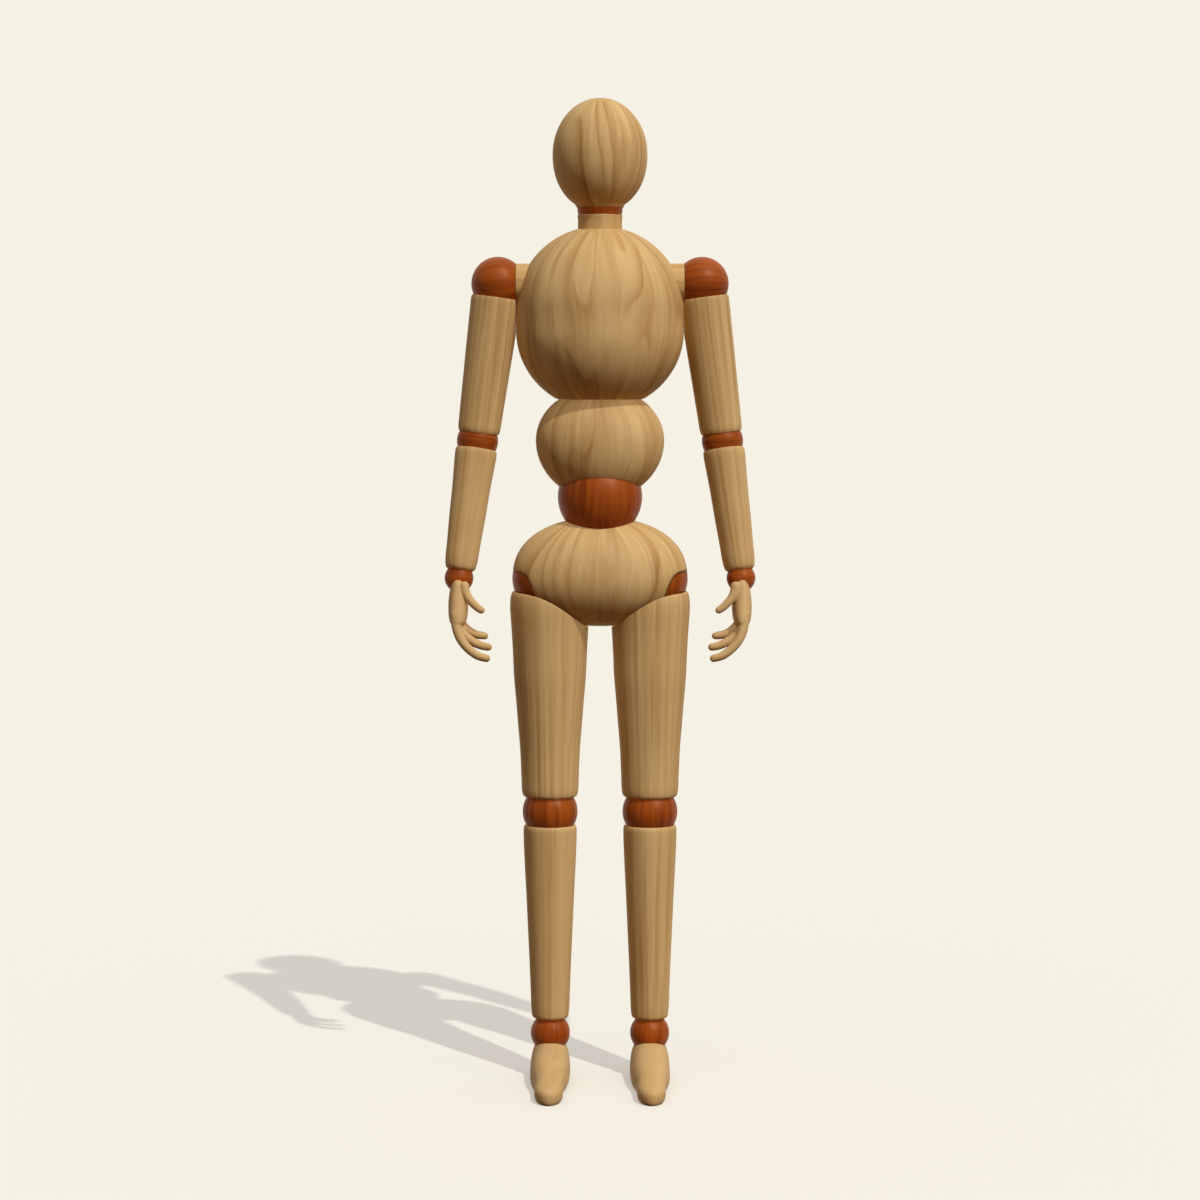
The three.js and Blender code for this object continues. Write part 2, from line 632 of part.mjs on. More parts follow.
function legPieces(side, name) {
  const hipFrame = hips[side < 0 ? 0 : 1].frame;
  const flip = side < 0 ? (body) => body : mirroredInFrame;
  const parts = hipJoint;
  addPiece(`${name}_hip_ball`, moved(flip(parts.ball), hipFrame), STAINED_WOOD);
  addPiece(`${name}_hip_swivel`, moved(flip(parts.swivel), hipFrame), STEEL);
  addPiece(`${name}_hip_tongue`, moved(flip(parts.tongue), hipFrame), STEEL);

  const thighPlace = at(side * HIP.x, 0, HIP.z);
  const kneePlace = at(side * HIP.x, 0, KNEE_Z);
  const anklePlace = at(side * HIP.x, 0, ANKLE_Z);
  const thighLength = HIP.z - KNEE_Z;
  const shinLength = KNEE_Z - ANKLE_Z;
  const kneeFrame = jointFrame(new THREE.Vector3(side * HIP.x, 0, KNEE_Z), X, DOWN);
  const ankleFrame = jointFrame(new THREE.Vector3(side * HIP.x, 0, ANKLE_Z), X, DOWN);

  const kneeUpper = limbBevel(-thighLength - THIGH_OUTLINE.at(-1)[1], 1);
  const kneeLower = limbBevel(-SHIN_OUTLINE[0][1], -1);
  const thigh = cutAway(
    limb(THIGH_OUTLINE, "hip", "knee", thighLength, 18),
    toPiece(saddle(side), ORIGIN, thighPlace),
    toPiece(flip(parts.pocket), hipFrame, thighPlace),
    toPiece(kneeJoint.stemRoom, kneeFrame, thighPlace),
    kneeUpper,
  );
  addPiece(`${name}_thigh`, thigh, PALE_WOOD, thighPlace);

  addPiece(`${name}_knee_ball`, moved(kneeJoint.ball, toLocal(kneeFrame, kneePlace)), STAINED_WOOD, kneePlace);
  addPiece(`${name}_knee_swivel`, moved(kneeJoint.swivel, toLocal(kneeFrame, kneePlace)), STEEL, kneePlace);
  addPiece(`${name}_knee_tongue`, moved(kneeJoint.tongue, toLocal(kneeFrame, kneePlace)), STEEL, kneePlace);
  const shin = cutAway(
    limb(SHIN_OUTLINE, "knee", "ankle", shinLength, 16),
    toPiece(kneeJoint.pocket, kneeFrame, kneePlace),
    toPiece(ankleJoint.stemRoom, ankleFrame, kneePlace),
    kneeLower,
  );
  addPiece(`${name}_shin`, shin, PALE_WOOD, kneePlace);

  addPiece(`${name}_ankle_ball`, moved(ankleJoint.ball, toLocal(ankleFrame, anklePlace)), STAINED_WOOD, anklePlace);
  addPiece(`${name}_ankle_tongue`, moved(ankleJoint.tongue, toLocal(ankleFrame, anklePlace)), STEEL, anklePlace);
  const foot = cutAway(
    footSolid(),
    shifted(sphere(BALL.ankle + GAP, 16), 0, 0, ANKLE_Z),
    toPiece(ankleJoint.pocket, ankleFrame, at(side * HIP.x, 0, 0)),
  );
  addPiece(`${name}_foot`, foot, PALE_WOOD, at(side * HIP.x, 0, 0));
}

function toLocal(jointPlace, piecePlace) {
  return new THREE.Matrix4().copy(piecePlace).invert().multiply(jointPlace);
}

function mirroredInFrame(body) {
  return moved(body, new THREE.Matrix4().makeScale(-1, 1, 1));
}

// Wedge that takes the back of a limb's end away so the knee can fold
function limbBevel(level, upward) {
  const wedge = block(-20, 20, 0, 40, -40 * (upward > 0 ? 1 : 0), 40 * (upward > 0 ? 0 : 1));
  const slope = new THREE.Matrix4().makeRotationX(upward * KNEE_BEVEL);
  return shifted(moved(wedge, slope), 0, 0, level);
}

const kneeJoint = ballJoint("knee", "up", 0);
const ankleJoint = ballJoint("ankle", "up", 0);

function footRing(y, half, height, under) {
  const ring = [];
  const around = 16;
  const ease = 2 / FOOT_ENDS.power;
  for (let k = 0; k < around; k++) {
    const turn = (2 * Math.PI * k) / around;
    const cos = Math.cos(turn);
    const sin = Math.sin(turn);
    const x = half * Math.sign(cos) * Math.abs(cos) ** ease;
    const tall = sin > 0 ? height - FOOT_ENDS.belly : under;
    ring.push(new THREE.Vector3(x, y, FOOT_ENDS.belly + tall * Math.sign(sin) * Math.abs(sin) ** ease));
  }
  return ring;
}

function footSolid() {
  const rings = FOOT_SECTIONS.map(([y, half, height]) => footRing(y, half, height, FOOT_ENDS.under));
  const [capY, capHalf, capHeight] = FOOT_SECTIONS.at(-1);
  const capSteps = 4;
  for (let i = 1; i < capSteps; i++) {
    const angle = ((Math.PI / 2) * i) / capSteps;
    const share = Math.cos(angle);
    const y = capY + (FOOT_ENDS.toe - capY) * Math.sin(angle);
    const height = FOOT_ENDS.belly + (capHeight - FOOT_ENDS.belly) * share ** 0.7;
    rings.push(footRing(y, capHalf * share, height, FOOT_ENDS.under * share ** 0.5));
  }
  const heel = new THREE.Vector3(0, FOOT_ENDS.heel, FOOT_ENDS.belly + 1);
  const toe = new THREE.Vector3(0, FOOT_ENDS.toe, FOOT_ENDS.belly);
  const whole = loft(heel, rings, toe);
  return cutAway(whole, block(-20, 20, -60, 30, -20, 0), block(-20, 20, -60, 30, FOOT_ENDS.top, 30));
}

// Hand for the left side: out is +X, the palm faces the body
function fingerSolid(finger) {
  const rings = [];
  const sides = 6;
  const points = finger.path.map(
    ([out, z]) => new THREE.Vector3(out, finger.y + PALM_LEAN * z, z),
  );
  const last = points.length - 1;
  const tipWay = points[last].clone().sub(points[last - 1]).normalize();
  const ringAt = (centre, way, radius) => {
    const aside = new THREE.Vector3().crossVectors(way, Y).normalize();
    const over = new THREE.Vector3().crossVectors(way, aside);
    const ring = [];
    for (let k = 0; k < sides; k++) {
      const turn = (2 * Math.PI * k) / sides;
      ring.push(
        centre.clone()
          .addScaledVector(aside, radius * Math.cos(turn))
          .addScaledVector(over, radius * Math.sin(turn)),
      );
    }
    return ring;
  };
  points.forEach((point, i) => {
    const before = points[Math.max(0, i - 1)];
    const after = points[Math.min(last, i + 1)];
    const radius = THREE.MathUtils.lerp(finger.radii[0], finger.radii[1], i / last);
    rings.push(ringAt(point, after.clone().sub(before).normalize(), radius));
  });
  const tipRadius = finger.radii[1];
  const near = points[last].clone().addScaledVector(tipWay, 0.62 * tipRadius);
  rings.push(ringAt(near, tipWay, 0.75 * tipRadius));
  const tip = points[last].clone().addScaledVector(tipWay, tipRadius);
  return loft(points[0].clone(), rings, tip);
}

function palmSolid() {
  const around = 12;
  const rings = PALM_SECTIONS.map(([z, thick, wide]) => {
    const ring = [];
    for (let k = 0; k < around; k++) {
      const turn = (2 * Math.PI * k) / around;
      const cos = Math.cos(turn);
      const sin = Math.sin(turn);
      ring.push(
        new THREE.Vector3(
          0.15 + thick * Math.sign(cos) * Math.abs(cos) ** 0.85,
          PALM_LEAN * z + wide * Math.sign(sin) * Math.abs(sin) ** 0.85,
          z,
        ),
      );
    }
    return ring;
  });
  const top = new THREE.Vector3(0.15, 0, PALM_SECTIONS[0][0] + 0.3);
  const low = PALM_SECTIONS.at(-1)[0] - 0.4;
  const bottom = new THREE.Vector3(0.15, PALM_LEAN * low, low);
  return loft(top, rings, bottom);
}

// Shoulder, arm and hand of one side
const shoulderCut = block(-20, 20, -20, 20, -20, 20);

function armPieces(side, name) {
  const flip = side < 0 ? (body) => body : mirroredInFrame;
  const shoulderCentre = new THREE.Vector3(side * SHOULDER.x, 0, SHOULDER.z);
  const shoulderFrame = jointFrame(shoulderCentre, Y, DOWN);
  addPiece(`${name}_shoulder_ball`, moved(flip(shoulderJoint.ball), shoulderFrame), STAINED_WOOD);
  addPiece(`${name}_shoulder_swivel`, moved(flip(shoulderJoint.swivel), shoulderFrame), STEEL);
  addPiece(`${name}_shoulder_tongue`, moved(flip(shoulderJoint.tongue), shoulderFrame), STEEL);

  const armPlace = new THREE.Matrix4().makeRotationY(-side * ARM_TILT).setPosition(shoulderCentre);
  const elbowCentre = new THREE.Vector3(0, 0, -UPPER_ARM_LENGTH).applyMatrix4(armPlace);
  const elbowPlace = new THREE.Matrix4().makeRotationY(-side * ARM_TILT).setPosition(elbowCentre);
  const bend = new THREE.Matrix4().makeRotationX(-ELBOW_BEND);
  const forearmPlace = new THREE.Matrix4().copy(elbowPlace).multiply(bend);
  const wristCentre = new THREE.Vector3(0, 0, -FOREARM_LENGTH).applyMatrix4(forearmPlace);
  const wristPlace = new THREE.Matrix4().copy(forearmPlace).setPosition(wristCentre);
  const handPlace = at(wristCentre.x, wristCentre.y, wristCentre.z);

  const across = X.clone().transformDirection(elbowPlace);
  const armDown = DOWN.clone().transformDirection(elbowPlace);
  const elbowFrame = jointFrame(elbowCentre, across, armDown);
  const wristAcross = Y.clone().transformDirection(wristPlace);
  const forearmDown = DOWN.clone().transformDirection(wristPlace);
  const wristFrame = jointFrame(wristCentre, wristAcross, forearmDown);
  const wristJoint = side < 0 ? rightWristJoint : leftWristJoint;

  const upperArm = cutAway(
    limb(UPPER_ARM_OUTLINE, "shoulder", "elbow", UPPER_ARM_LENGTH, 16),
    toPiece(shifted(shoulderCut, side * (SHOULDER.flat - 20), 0, SHOULDER.z), ORIGIN, armPlace),
    toPiece(flip(shoulderJoint.pocket), shoulderFrame, armPlace),
    toPiece(elbowJoint.stemRoom, elbowFrame, armPlace),
  );
  addPiece(`${name}_upper_arm`, upperArm, PALE_WOOD, armPlace);
  addPiece(`${name}_elbow_ball`, moved(elbowJoint.ball, toLocal(elbowFrame, elbowPlace)), STAINED_WOOD, elbowPlace);
  addPiece(`${name}_elbow_swivel`, moved(elbowJoint.swivel, toLocal(elbowFrame, elbowPlace)), STEEL, elbowPlace);
  addPiece(`${name}_elbow_tongue`, moved(elbowJoint.tongue, toLocal(elbowFrame, elbowPlace)), STEEL, elbowPlace);
  const forearm = cutAway(
    limb(FOREARM_OUTLINE, "elbow", "wrist", FOREARM_LENGTH, 14),
    toPiece(elbowJoint.pocket, elbowFrame, forearmPlace),
    toPiece(wristJoint.stemRoom, wristFrame, forearmPlace),
  );
  addPiece(`${name}_forearm`, forearm, PALE_WOOD, forearmPlace);
  addPiece(`${name}_wrist_ball`, moved(wristJoint.ball, toLocal(wristFrame, wristPlace)), STAINED_WOOD, wristPlace);
  addPiece(`${name}_wrist_tongue`, moved(wristJoint.tongue, toLocal(wristFrame, wristPlace)), STEEL, wristPlace);
  const shape = joined(palmSolid(), ...FINGERS.map(fingerSolid));
  const hand = cutAway(
    side < 0 ? mirrored(shape) : shape,
    sphere(BALL.wrist + GAP, 14),
    toPiece(wristJoint.pocket, wristFrame, handPlace),
  );
  addPiece(`${name}_hand`, hand, PALE_WOOD, handPlace);
}

// In the shoulder frame aside is to the figure's right, so the flat faces aside
const shoulderFlat = shifted(shoulderCut, SHOULDER.flat - SHOULDER.x - 20, 0, 0);
const shoulderJoint = ballJoint("shoulder", "in", ARM_TILT, [shoulderFlat]);
const elbowJoint = ballJoint("elbow", "up", -ELBOW_BEND);
const leftWristJoint = ballJoint("wrist", "up", ARM_TILT);
const rightWristJoint = ballJoint("wrist", "up", -ARM_TILT);

for (const [side, name] of [[-1, "right"], [1, "left"]]) {
  armPieces(side, name);
  legPieces(side, name);
}

export default figure;
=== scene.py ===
import math
from types import SimpleNamespace

import bmesh
import bpy
from mathutils import Matrix, Vector


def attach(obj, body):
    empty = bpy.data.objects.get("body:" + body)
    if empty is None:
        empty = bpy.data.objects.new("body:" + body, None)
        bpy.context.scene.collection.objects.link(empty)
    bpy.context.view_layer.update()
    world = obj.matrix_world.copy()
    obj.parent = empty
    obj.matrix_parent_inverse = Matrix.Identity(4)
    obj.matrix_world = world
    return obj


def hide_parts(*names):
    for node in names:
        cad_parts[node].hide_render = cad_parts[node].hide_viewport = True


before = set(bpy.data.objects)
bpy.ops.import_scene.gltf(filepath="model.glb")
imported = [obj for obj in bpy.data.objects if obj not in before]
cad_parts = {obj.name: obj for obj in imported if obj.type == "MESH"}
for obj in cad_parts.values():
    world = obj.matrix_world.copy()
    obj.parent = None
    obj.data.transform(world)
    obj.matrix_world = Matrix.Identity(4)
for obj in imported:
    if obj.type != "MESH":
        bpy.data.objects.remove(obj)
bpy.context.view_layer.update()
print("frame loaded with", len(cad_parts), "solids")

mm = 0.001                   # every size below is in millimetres
floorShift = 9.4635          # the solids stand with the middle of their box over the origin
snug = 0.07                  # gap left between a ball and its cup
freeFit = 0.3                # room round the steel inside
past = 1                     # how far a cutter runs out of its piece
flatBlock = {"half": 20, "long": 40, "front": 60, "back": 30}    # blocks that cut flats
sliver = 0.001               # faces thinner than this go
weld = 0.0001                # corners closer than this are one
roundness = {                # segments in a full turn
    "chest": 144, "trunk": 128, "limb": 96, "boss": 72, "small": 64, "palm": 48, "hole": 32, "finger": 24,
}

xAxis, yAxis, zAxis = Vector((1, 0, 0)), Vector((0, 1, 0)), Vector((0, 0, 1))
quarter = math.pi / 2


# small modelling tools

def spot(x, y, z):
    return Matrix.Translation(Vector((x, y + floorShift, z)) * mm)


centred = spot(0, 0, 0)


def evenly(start, stop, steps):
    # values in even steps, with both ends
    return [start + (stop - start) * i / steps for i in range(steps + 1)]


def swell(share, power):
    # a sine or cosine, made fuller by a power under 1
    return math.copysign(abs(share) ** power, share)


def roundTurn(count, power=1):
    # points round a circle of radius 1; a power under 1 makes it boxier
    turns = evenly(0, 2 * math.pi, count)[:-1]
    return [(swell(math.cos(turn), power), swell(math.sin(turn), power)) for turn in turns]


def throughPoints(points, perSpan):
    # smooth run through a row of points, also where they are unevenly spaced
    pts = [Vector(p) for p in points]
    pts = [pts[0] * 2 - pts[1]] + pts + [pts[-1] * 2 - pts[-2]]
    run = []
    for i in range(1, len(pts) - 2):
        a, b, c, d = pts[i - 1:i + 3]
        t0, t1 = 0.0, (b - a).length ** 0.5
        t2 = t1 + (c - b).length ** 0.5
        t3 = t2 + (d - c).length ** 0.5
        for t in evenly(t1, t2, perSpan)[:-1]:
            ab = a * ((t1 - t) / (t1 - t0)) + b * ((t - t0) / (t1 - t0))
            bc = b * ((t2 - t) / (t2 - t1)) + c * ((t - t1) / (t2 - t1))
            cd = c * ((t3 - t) / (t3 - t2)) + d * ((t - t2) / (t3 - t2))
            abc = ab * ((t2 - t) / (t2 - t0)) + bc * ((t - t0) / (t2 - t0))
            bcd = bc * ((t3 - t) / (t3 - t1)) + cd * ((t - t1) / (t3 - t1))
            run.append(abc * ((t2 - t) / (t2 - t1)) + bcd * ((t - t1) / (t2 - t1)))
    run.append(pts[-2].copy())
    return [tuple(p) for p in run]


def arcPoints(level, radius, start, stop, steps):
    # arc centred on the turning axis, angles in degrees from straight up
    points = []
    for degrees in evenly(start, stop, steps):
        angle = math.radians(degrees)
        points.append((max(0.0, radius * math.sin(angle)), level + radius * math.cos(angle)))
    return points


def meshFrom(name, vertices, faces):
    mesh = bpy.data.meshes.new(name)
    mesh.from_pydata([Vector(v) * mm for v in vertices], [], faces)
    work = bmesh.new()
    work.from_mesh(mesh)
    bmesh.ops.remove_doubles(work, verts=work.verts, dist=weld * mm)
    bmesh.ops.recalc_face_normals(work, faces=work.faces)
    work.to_mesh(mesh)
    work.free()
    return mesh


def turnedMesh(name, outline, around=roundness["limb"]):
    # revolves an outline of (radius, level); an outline that misses the axis closes on itself
    vertices, faces, rings, circle = [], [], [], roundTurn(around)
    for radius, level in outline:
        if radius < weld:
            rings.append([len(vertices)])
            vertices.append((0, 0, level))
        else:
            rings.append(range(len(vertices), len(vertices) + around))
            vertices += [(radius * c, radius * s, level) for c, s in circle]
    pairs = list(zip(rings, rings[1:]))
    if len(rings[0]) > 1:
        pairs.append((rings[-1], rings[0]))
    for low, high in pairs:
        for k in range(around):
            n = (k + 1) % around
            if len(low) == 1 and len(high) > 1:
                faces.append((low[0], high[n], high[k]))
            elif len(high) == 1 and len(low) > 1:
                faces.append((low[k], low[n], high[0]))
            elif len(low) > 1:
                faces.append((low[k], low[n], high[n], high[k]))
    return meshFrom(name, vertices, faces)


def loftedMesh(name, start, rings, end):
    count = len(rings[0])
    vertices = [start] + [p for ring in rings for p in ring] + [end]
    last = len(vertices) - 1
    faces = []
    for k in range(count):
        n = (k + 1) % count
        faces.append((0, 1 + k, 1 + n))
        for row in range(len(rings) - 1):
            here, there = 1 + row * count, 1 + (row + 1) * count
            faces.append((here + k, there + k, there + n, here + n))
        base = 1 + (len(rings) - 1) * count
        faces.append((last, base + n, base + k))
    return meshFrom(name, vertices, faces)


def slabMesh(name, corners, thickness, middle):
    # flat outline in the first two directions, given a thickness along the third
    count = len(corners)
    vertices = [(x, y, middle - thickness / 2) for x, y in corners]
    vertices += [(x, y, middle + thickness / 2) for x, y in corners]
    faces = [tuple(range(count)), tuple(range(count, 2 * count))]
    faces += [(k, (k + 1) % count, count + (k + 1) % count, count + k) for k in range(count)]
    return meshFrom(name, vertices, faces)


def ballMesh(name, radius, around=roundness["limb"]):
    return turnedMesh(name, arcPoints(0, radius, 180, 0, around // 2), around)


def rodMesh(name, radius, low, high, around=roundness["hole"]):
    return turnedMesh(name, [(0, low), (radius, low), (radius, high), (0, high)], around)


def blockMesh(name, low, high):
    corners = [(low[0], low[1]), (high[0], low[1]), (high[0], high[1]), (low[0], high[1])]
    return slabMesh(name, corners, high[2] - low[2], (low[2] + high[2]) / 2)


def mirroredMesh(mesh):
    mesh.transform(Matrix.Diagonal((-1, 1, 1, 1)))
    mesh.flip_normals()
    return mesh


def putDown(data, place):
    # a mesh, lamp or camera
    thing = bpy.data.objects.new(data.name, data)
    bpy.context.scene.collection.objects.link(thing)
    thing.matrix_world = place
    return thing


def settle(thing):
    # bakes the modifiers of a piece into its mesh, and clears the slivers that cuts leave
    bpy.context.view_layer.update()
    ready = thing.evaluated_get(bpy.context.evaluated_depsgraph_get())
    mesh = bpy.data.meshes.new_from_object(ready)
    work = bmesh.new()
    work.from_mesh(mesh)
    bmesh.ops.dissolve_degenerate(work, dist=sliver * mm, edges=work.edges)
    idle = [vertex for vertex in work.verts if len(vertex.link_edges) == 2]    # no corner of anything
    bmesh.ops.dissolve_verts(work, verts=idle)
    work.to_mesh(mesh)
    work.free()
    thing.modifiers.clear()
    thing.data = mesh


def carve(thing, cutters, operation="DIFFERENCE"):
    # takes each cutter, a (mesh, place) pair, out of the piece, or joins it on
    tools = [putDown(mesh, place) for mesh, place in cutters]
    for tool in tools:
        cut = thing.modifiers.new("cut", "BOOLEAN")
        cut.operation = operation
        cut.solver = "MANIFOLD"
        cut.object = tool
    settle(thing)
    for tool in tools:
        bpy.data.objects.remove(tool)


def jointFrame(centre, across, toward):
    # frame of a joint: third axis along the pin, second away from the next piece
    w = across.normalized()
    v = -toward.normalized()
    u = v.cross(w)
    turn = Matrix((u, v, w)).transposed().to_4x4()
    return spot(*centre) @ turn


boards = {"core": 0.42, "apart": (61.7, -23.3, 47.9)}    # heart of a board, in radii, and the way to the next


def grainOn(mesh, radius, flatten, turn, number):
    # stores where each point lies in its board: round the piece, and along its grain
    store = mesh.attributes.new("grain", "FLOAT_VECTOR", "POINT")
    right, back, up = [step * number for step in boards["apart"]]
    values = []
    for vertex in mesh.vertices:
        p = turn @ (vertex.co / mm)
        x, y = p.x, p.y / flatten
        reach = max(math.hypot(x, y), boards["core"] * radius)
        values += [x / reach * radius + right, y / reach * radius + back, p.z + up]
    store.data.foreach_set("vector", values)


upright = Matrix.Identity(3)
dressed = []                 # pieces finished so far, each from a board of its own


def finish(thing, name, finishing, radius, body=None, sharp=32, flatten=1.0, turn=upright):
    # dresses a finished piece and lets it stand for its solid, on its own body unless one is given
    material, slot = finishing
    mesh = thing.data
    mesh.polygons.foreach_set("use_smooth", [True] * len(mesh.polygons))
    mesh.set_sharp_from_angle(angle=math.radians(sharp))
    dressed.append(name)
    grainOn(mesh, radius, flatten, turn, len(dressed))
    mesh.transform(thing.matrix_world)
    thing.matrix_world = Matrix.Identity(4)
    mesh.materials.clear()
    mesh.materials.append(material)
    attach(thing, body or name)
    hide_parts(name)


# materials

def nodeKit(owner):
    # short ways to add, join and blend the nodes of a material or a world
    owner.use_nodes = True
    tree = owner.node_tree

    def add(kind, **values):
        node = tree.nodes.new(kind)
        for key, value in values.items():
            if key in node.inputs:
                feed(node.inputs[key], value)
            else:
                setattr(node, key, value)
        return node

    def feed(socket, value):
        if isinstance(value, (int, float, tuple)):
            socket.default_value = value
        else:
            tree.links.new(value, socket)

    def calc(operation, *values):
        node = add("ShaderNodeMath", operation=operation)
        for socket, value in zip(node.inputs, values):
            feed(socket, value)
        return node.outputs[0]

    def ramp(value, span, smooth=False):
        node = add("ShaderNodeMapRange", interpolation_type="SMOOTHSTEP" if smooth else "LINEAR")
        for socket, part in (("Value", value), ("From Min", span[0]), ("From Max", span[1])):
            feed(node.inputs[socket], part)
        return node.outputs["Result"]

    def blend(amount, first, second):
        node = add("ShaderNodeMix", data_type="RGBA")
        for place, value in ((0, amount), (6, first), (7, second)):
            feed(node.inputs[place], value)
        return node.outputs[2]

    return SimpleNamespace(add=add, feed=feed, calc=calc, ramp=ramp, blend=blend)


def newMaterial(name):
    # with its node tools and the sockets of its shader
    material = bpy.data.materials.new(name)
    kit = nodeKit(material)
    return material, kit, material.node_tree.nodes["Principled BSDF"].inputs


def fromPaint(red, green, blue):
    # paint-chart colour, 0 to 255, as light
    return tuple(((c / 255 + 0.055) / 1.055) ** 2.4 if c > 10 else c / 255 / 12.92
                 for c in (red, green, blue)) + (1.0,)


grainRules = {               # alike in every wood; a span is the part of a noise that shows
    "sway": {"detail": 1.0, "rough": 0.4},
    "ring": {"detail": 1.0, "rough": 0.3, "late": 2.5, "end": (1.0, 0.9), "faint": 0.25},
    "strong": {"detail": 0.0, "rough": 0.5, "span": (0.38, 0.62)},
    "streak": {"detail": 1.5, "rough": 0.5, "span": (0.33, 0.67), "faint": 0.4},
    "lively": {"detail": 0.0, "rough": 0.5, "span": (0.36, 0.62)},
    "fleck": {"detail": 1.0, "rough": 0.5, "span": (0.58, 0.72)},
    "fibre": {"detail": 3.0, "rough": 0.6, "span": (0.30, 0.70)},
    "patch": {"detail": 1.0, "rough": 0.5, "span": (0.34, 0.66)},
    "pore": {"detail": 1.0, "rough": 0.5, "span": (0.68, 0.80)},
    "edge": {"span": (0.995, 0.90), "samples": 6},              # bend of the surface that counts as an edge
    "gloss": {"dark": 0.10, "rubbed": 0.10, "light": -0.04},    # added to the roughness
    "relief": {"fibre": -0.4, "pore": -0.8, "ring": -0.9, "streak": -0.6, "height": 0.08},
}


def wood(name, look):
    material, kit, surface = newMaterial(name)
    rules, calc, ramp, blend = grainRules, kit.calc, kit.ramp, kit.blend
    board = kit.add("ShaderNodeAttribute", attribute_name="grain").outputs["Vector"]

    def drawnOut(kind, source, output="Fac"):
        # noise stretched along the grain
        across, along = look[kind + "Size"]
        stretch = kit.add("ShaderNodeMapping", Scale=(1 / across, 1 / across, 1 / along), Vector=source)
        texture = kit.add("ShaderNodeTexNoise", Scale=1.0, Detail=rules[kind]["detail"],
                          Roughness=rules[kind]["rough"], Vector=stretch.outputs[0])
        return texture.outputs[output]

    def shown(kind, source, smooth=False):
        return ramp(drawnOut(kind, source), rules[kind]["span"], smooth)

    def fading(pattern, kind, amount):
        # leaves the pattern faint where the wood is calm
        faint = rules[kind]["faint"]
        return calc("MULTIPLY", pattern, calc("MULTIPLY_ADD", amount, 1 - faint, faint))

    # the grain wanders sideways along its length
    swing = kit.add("ShaderNodeVectorMath", operation="MULTIPLY_ADD")
    kit.feed(swing.inputs[0], drawnOut("sway", board, "Color"))
    kit.feed(swing.inputs[1], (look["sway"], look["sway"], 0.0))
    kit.feed(swing.inputs[2], board)
    bent = swing.outputs[0]

    # growth rings: each darkens slowly and ends in a crisp line
    ring = calc("FRACT", calc("MULTIPLY", drawnOut("ring", bent), look["rings"]))
    late = calc("MULTIPLY", calc("POWER", ring, rules["ring"]["late"]), ramp(ring, rules["ring"]["end"]))
    late = fading(late, "ring", shown("strong", bent, smooth=True))

    streaks = fading(shown("streak", bent), "streak", shown("lively", board, smooth=True))
    flecks, fibres, pores = shown("fleck", bent), shown("fibre", bent), shown("pore", bent)
    patches = shown("patch", board)

    tone = calc("MULTIPLY", late, look["ringDepth"])
    tone = calc("MULTIPLY_ADD", streaks, look["streakDepth"], tone)
    tone = calc("MULTIPLY_ADD", fibres, look["fibreDepth"], tone)
    tone.node.use_clamp = True
    colour = blend(tone, look["light"], look["dark"])
    colour = blend(calc("MULTIPLY", flecks, look["fleckDepth"]), colour, look["rub"])
    colour = blend(calc("MULTIPLY", patches, look["patchDepth"]), colour, look["warm"])
    colour = blend(calc("MULTIPLY", pores, look["poreDepth"]), colour, look["pore"])

    # edges are eased, and rubbed a little where hands turn the joints
    eased = kit.add("ShaderNodeBevel", samples=rules["edge"]["samples"], Radius=look["ease"] * mm)
    facing = kit.add("ShaderNodeVectorMath", operation="DOT_PRODUCT")
    kit.feed(facing.inputs[0], eased.outputs["Normal"])
    kit.feed(facing.inputs[1], kit.add("ShaderNodeNewGeometry").outputs["Normal"])
    rubbed = calc("MULTIPLY", ramp(facing.outputs["Value"], rules["edge"]["span"]), fibres)
    colour = blend(calc("MULTIPLY", rubbed, look["wear"]), colour, look["rub"])
    kit.feed(surface["Base Color"], colour)

    gloss = rules["gloss"]
    rough = calc("MULTIPLY_ADD", tone, gloss["dark"], look["roughness"] + gloss["light"])
    kit.feed(surface["Roughness"], calc("MULTIPLY_ADD", rubbed, gloss["rubbed"], rough))
    kit.feed(surface["Specular IOR Level"], look["specular"])
    kit.feed(surface["Specular Tint"], look["sheenTint"])

    relief = rules["relief"]
    height = calc("MULTIPLY", fibres, relief["fibre"])
    for pattern, kind in ((pores, "pore"), (late, "ring"), (streaks, "streak")):
        height = calc("MULTIPLY_ADD", pattern, relief[kind], height)
    bump = kit.add("ShaderNodeBump", Strength=look["relief"], Distance=relief["height"] * mm,
                   Height=height, Normal=eased.outputs["Normal"])
    kit.feed(surface["Normal"], bump.outputs["Normal"])
    return material


figuredLook = {              # head and trunk, where the turning cuts across the rings
    "light": fromPaint(219, 183, 122), "dark": fromPaint(168, 123, 64), "warm": fromPaint(198, 152, 86),
    "pore": fromPaint(128, 88, 46), "rub": fromPaint(230, 200, 150), "sheenTint": (1.0, 1.0, 1.0, 1.0),
    # sizes of the patterns, across the grain and along it
    "swaySize": (18.0, 26.0), "ringSize": (17.0, 95.0), "streakSize": (2.8, 50.0), "fleckSize": (1.5, 55.0),
    "fibreSize": (0.40, 18.0), "patchSize": (14.0, 40.0), "poreSize": (0.20, 2.6),
    "strongSize": (9.0, 50.0), "livelySize": (11.0, 45.0),
    "sway": 7.0, "rings": 8.0, "ringDepth": 0.7, "streakDepth": 0.52, "fibreDepth": 0.14, "patchDepth": 0.2,
    "fleckDepth": 0.3, "poreDepth": 0.22, "ease": 0.3, "wear": 0.3, "relief": 0.45,
    "roughness": 0.6, "specular": 0.12,
}
